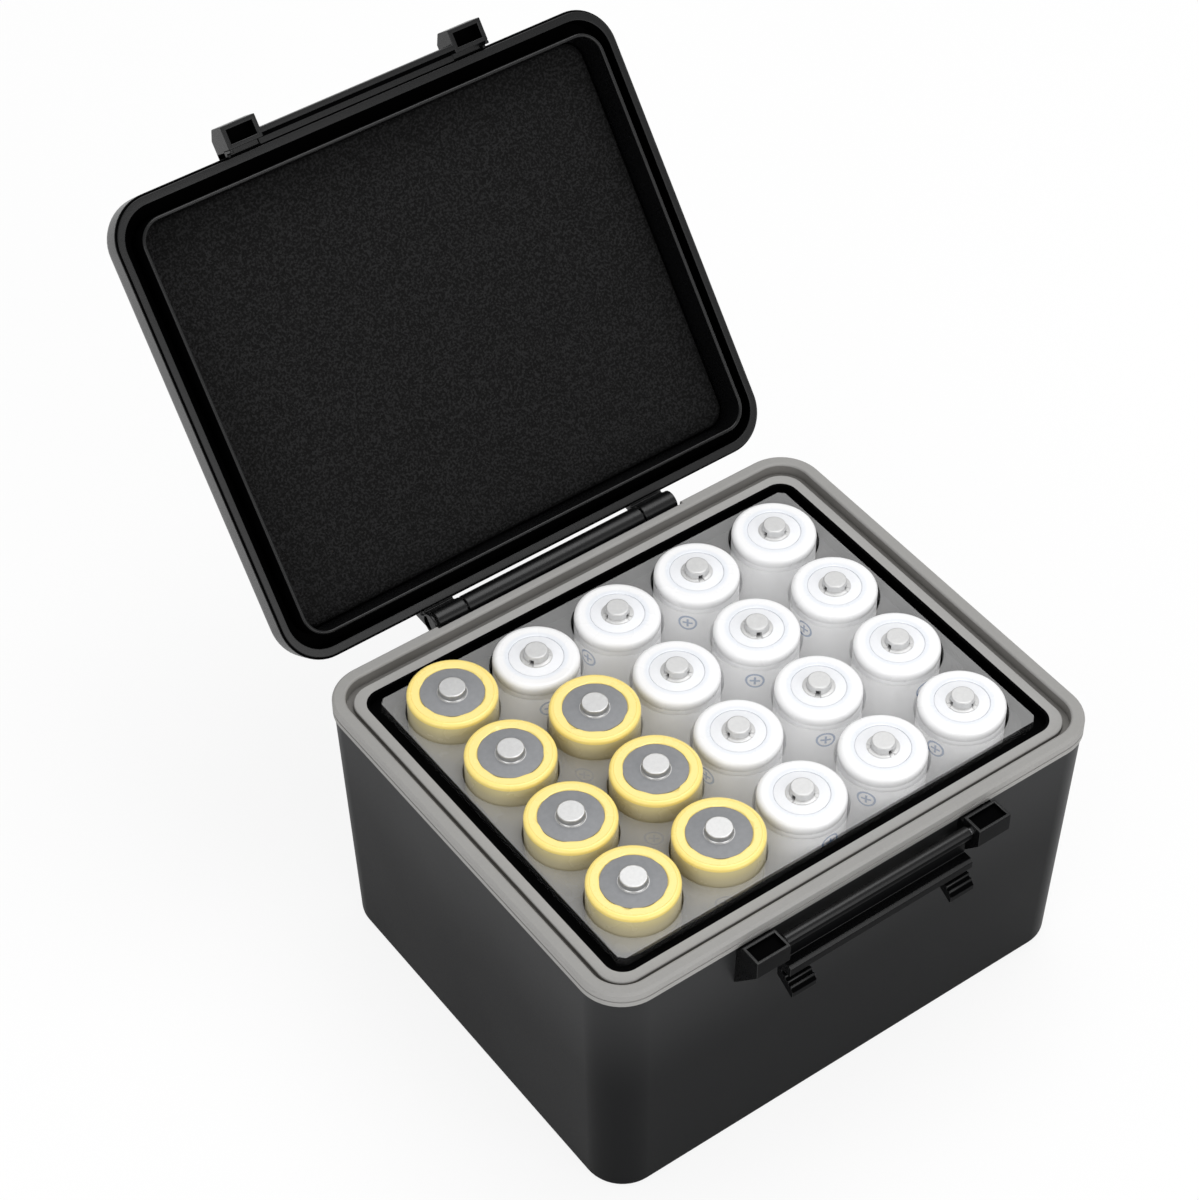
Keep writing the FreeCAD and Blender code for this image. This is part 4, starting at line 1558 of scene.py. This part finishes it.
    def build(self) -> None:
        """Builds and dresses the can and the contact."""
        name = self.place.name
        wrap, cap = self.design.wrap, self.design.cap
        for mould, end, look, sharp_angle, slot, node in (
            (self.can(), "_wrap", wrap, self.wrap_angle, self.design.kind.value + "_wrap", "_can"),
            (self.contact(), "_contact", cap, self.cap_angle, "nickel_cap", "_cap"),
        ):
            mould.move(self.place.x, self.place.y)
            obj = mould.piece(name + end, [look], sharp_angle, even=False)
            settle(obj, name, slot, name + node)


YELLOW_CELL = CellDesign(
    kind=CellKind.YELLOW, radius=YELLOW_RADIUS, top=YELLOW_TOP, recess=6.55, nub=2.9, waist=2.8,
    nub_top=2.6, nub_round=0.2, nub_height=1.5, shoulder=0.75, crimp=0,
    wrap=ShrinkWrap(
        name="yellow_wrap", crown=(0.94, 0.74, 0.22), side=(0.62, 0.54, 0.28),
        side_shade=(0.67, 0.585, 0.31), side_deep_shade=(0.50, 0.445, 0.29), ink=(0.26, 0.24, 0.20),
        top_ring=(0.95, 0.77, 0.28), ring_radius=7.6, cell_radius=YELLOW_RADIUS, top=YELLOW_TOP,
        mark_below_top=10.2),
    cap=EndCap(
        name="yellow_cap", washer=(0.20, 0.205, 0.215), washer_shade=(0.265, 0.27, 0.28), nub_radius=2.95,
        vents=False, top=YELLOW_TOP, plate_dark=(0.43, 0.43, 0.43), plate_light=(0.58, 0.58, 0.575),
        metal_share=1.0))
WHITE_CELL = CellDesign(
    kind=CellKind.WHITE, radius=WHITE_RADIUS, top=WHITE_TOP, recess=5.6, nub=3.2, waist=2.6, nub_top=2.2,
    nub_round=0.3, nub_height=1.8, shoulder=1.15, crimp=2.5,
    wrap=ShrinkWrap(
        name="white_wrap", crown=(0.88, 0.88, 0.885), side=(0.84, 0.84, 0.845),
        side_shade=(0.88, 0.88, 0.885), side_deep_shade=(0.88, 0.88, 0.885), ink=(0.10, 0.19, 0.38),
        top_ring=(0.76, 0.79, 0.84), ring_radius=5.7, cell_radius=WHITE_RADIUS, top=WHITE_TOP,
        mark_below_top=6.4),
    cap=EndCap(
        name="white_cap", washer=(0.80, 0.81, 0.84), washer_shade=(0.86, 0.87, 0.89), nub_radius=3.25,
        vents=True, top=WHITE_TOP, plate_dark=(0.50, 0.50, 0.50), plate_light=(0.62, 0.62, 0.615),
        metal_share=0.5))


@dataclass
class CellSet:
    """All the cells in the tray."""

    yellow: tuple[str, ...] = ("cell_a1", "cell_a2", "cell_a3", "cell_a4", "cell_b2", "cell_b3", "cell_b4")

    def build(self) -> None:
        """Builds each cell at its place."""
        for place in GRID.places():
            Cell(place, YELLOW_CELL if place.name in self.yellow else WHITE_CELL).build()


@dataclass
class BareNodes:
    """CAD nodes that keep their own shape and get a finish."""

    # The rim frame gets the near-black finish as painted shade, so that the gap round the deck reads black.
    finishes: dict[str, Finish] = field(default_factory=lambda: {
        "rim_frame": SHADE_SATIN, "hinge_pin": STEEL, "latch_pin": STEEL})

    def dress(self) -> None:
        """Gives each node its finish."""
        for node, finish in self.finishes.items():
            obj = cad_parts[node]
            obj.data.materials.clear()
            obj.data.materials.append(finish.material())
            log.info("%s keeps its solid", node)


# Studio

@dataclass(frozen=True)
class Lamp:
    """A square soft light, with its place and side in metres and its power in watts."""

    name: str
    place: Triple
    size: float
    power: float


@dataclass
class Studio:
    """Floor, lights, world and camera."""

    camera_place: Triple = (-279.065, -348.705, 548.743)
    right: Triple = (0.807433, -0.589946, -0.003914)
    down: Triple = (-0.422906, -0.574163, -0.701061)
    ahead: Triple = (0.411341, 0.567715, -0.713090)
    focal_pixels: float = 3294.37
    picture_width: int = 1199
    sensor: float = 36.0
    near_clip: float = 0.01
    white: tuple[float, ...] = (1.0, 1.0, 1.0, 1.0)
    sky: float = 0.6
    sky_shown: float = 1.0
    sky_mirrored: float = 0.4
    floor_half: float = 6.0
    floor_z: float = -0.0003
    floor_tone: float = 0.9
    floor_shown: float = 0.86
    floor_mirrored: float = 0.2
    aim: Triple = (0, 0, 0.05)
    lamps: tuple[Lamp, ...] = (
        Lamp("overhead", (0.26, 0.12, 0.97), 0.6, 4.2),
        Lamp("left_fill", (-0.9, -0.35, 0.45), 0.6, 2.4),
        Lamp("front_fill", (0.1, -1.0, 0.45), 0.8, 4.0),
    )

    def floor(self) -> None:
        """Adds a pale floor that keeps the shadow and shows white."""
        bm = bmesh.new()
        bmesh.ops.create_grid(bm, x_segments=1, y_segments=1, size=self.floor_half)
        bmesh.ops.translate(bm, verts=list(bm.verts), vec=(0, 0, self.floor_z))
        mesh = bpy.data.meshes.new("floor")
        bm.to_mesh(mesh)
        bm.free()
        obj = bpy.data.objects.new("floor", mesh)
        bpy.context.scene.collection.objects.link(obj)
        paint = bpy.data.materials.new("floor_white")
        board = Board(paint)
        tone = (self.floor_tone, self.floor_tone, self.floor_tone, 1.0)
        matt = board.node("ShaderNodeBsdfDiffuse", None, {"Color": tone})
        white = board.node("ShaderNodeEmission", None, {"Color": self.white, "Strength": 1.0})
        share = board.shown_white(self.floor_shown, self.floor_mirrored)
        mix = board.node("ShaderNodeMixShader", None, (share, matt.outputs[0], white.outputs[0]))
        board.node("ShaderNodeOutputMaterial", None, {"Surface": mix.outputs[0]})
        mesh.materials.append(paint)

    def world(self) -> None:
        """Adds an even pale sky that shows white."""
        world = bpy.data.worlds.new("studio")
        bpy.context.scene.world = world
        board = Board(world)
        light = board.node("ShaderNodeBackground", None, {"Color": self.white, "Strength": self.sky})
        white = board.node("ShaderNodeBackground", None, {"Color": self.white, "Strength": 1.0})
        share = board.shown_white(self.sky_shown, self.sky_mirrored)
        mix = board.node("ShaderNodeMixShader", None, (share, light.outputs[0], white.outputs[0]))
        board.node("ShaderNodeOutputWorld", None, {"Surface": mix.outputs[0]})

    def hang(self, lamp: Lamp) -> None:
        """Adds one light.

        Args:
            lamp: The light.
        """
        data = bpy.data.lights.new(lamp.name, "AREA")
        data.shape = "SQUARE"
        data.size = lamp.size
        data.energy = lamp.power
        obj = bpy.data.objects.new(lamp.name, data)
        obj.location = lamp.place
        obj.rotation_euler = (Vector(self.aim) - Vector(lamp.place)).to_track_quat("-Z", "Y").to_euler()
        bpy.context.scene.collection.objects.link(obj)

    def camera(self) -> None:
        """Places the camera where the photograph was taken from."""
        data = bpy.data.cameras.new("camera")
        data.sensor_fit = "HORIZONTAL"
        data.sensor_width = self.sensor
        data.lens = self.focal_pixels * data.sensor_width / self.picture_width
        data.clip_start = self.near_clip
        obj = bpy.data.objects.new("camera", data)
        columns = (Vector(self.right), -Vector(self.down), -Vector(self.ahead))
        turn = Matrix(columns).transposed().to_4x4()
        obj.matrix_world = Matrix.Translation(Vector(self.camera_place) * METRES) @ turn
        bpy.context.scene.collection.objects.link(obj)
        bpy.context.scene.camera = obj

    def build(self) -> None:
        """Builds the studio."""
        self.floor()
        self.world()
        for lamp in self.lamps:
            self.hang(lamp)
        self.camera()
        bpy.context.scene.view_settings.view_transform = "Standard"


def main() -> None:
    """Builds the object piece by piece."""
    logging.basicConfig(level=logging.INFO, format="%(message)s")
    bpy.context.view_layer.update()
    Tub().build()
    RimSeal().build()
    Tray().build()
    Lid().build()
    LidPad().build()
    Clasp().build()
    CellSet().build()
    BareNodes().dress()
    Studio().build()


if __name__ == "__main__":
    main()
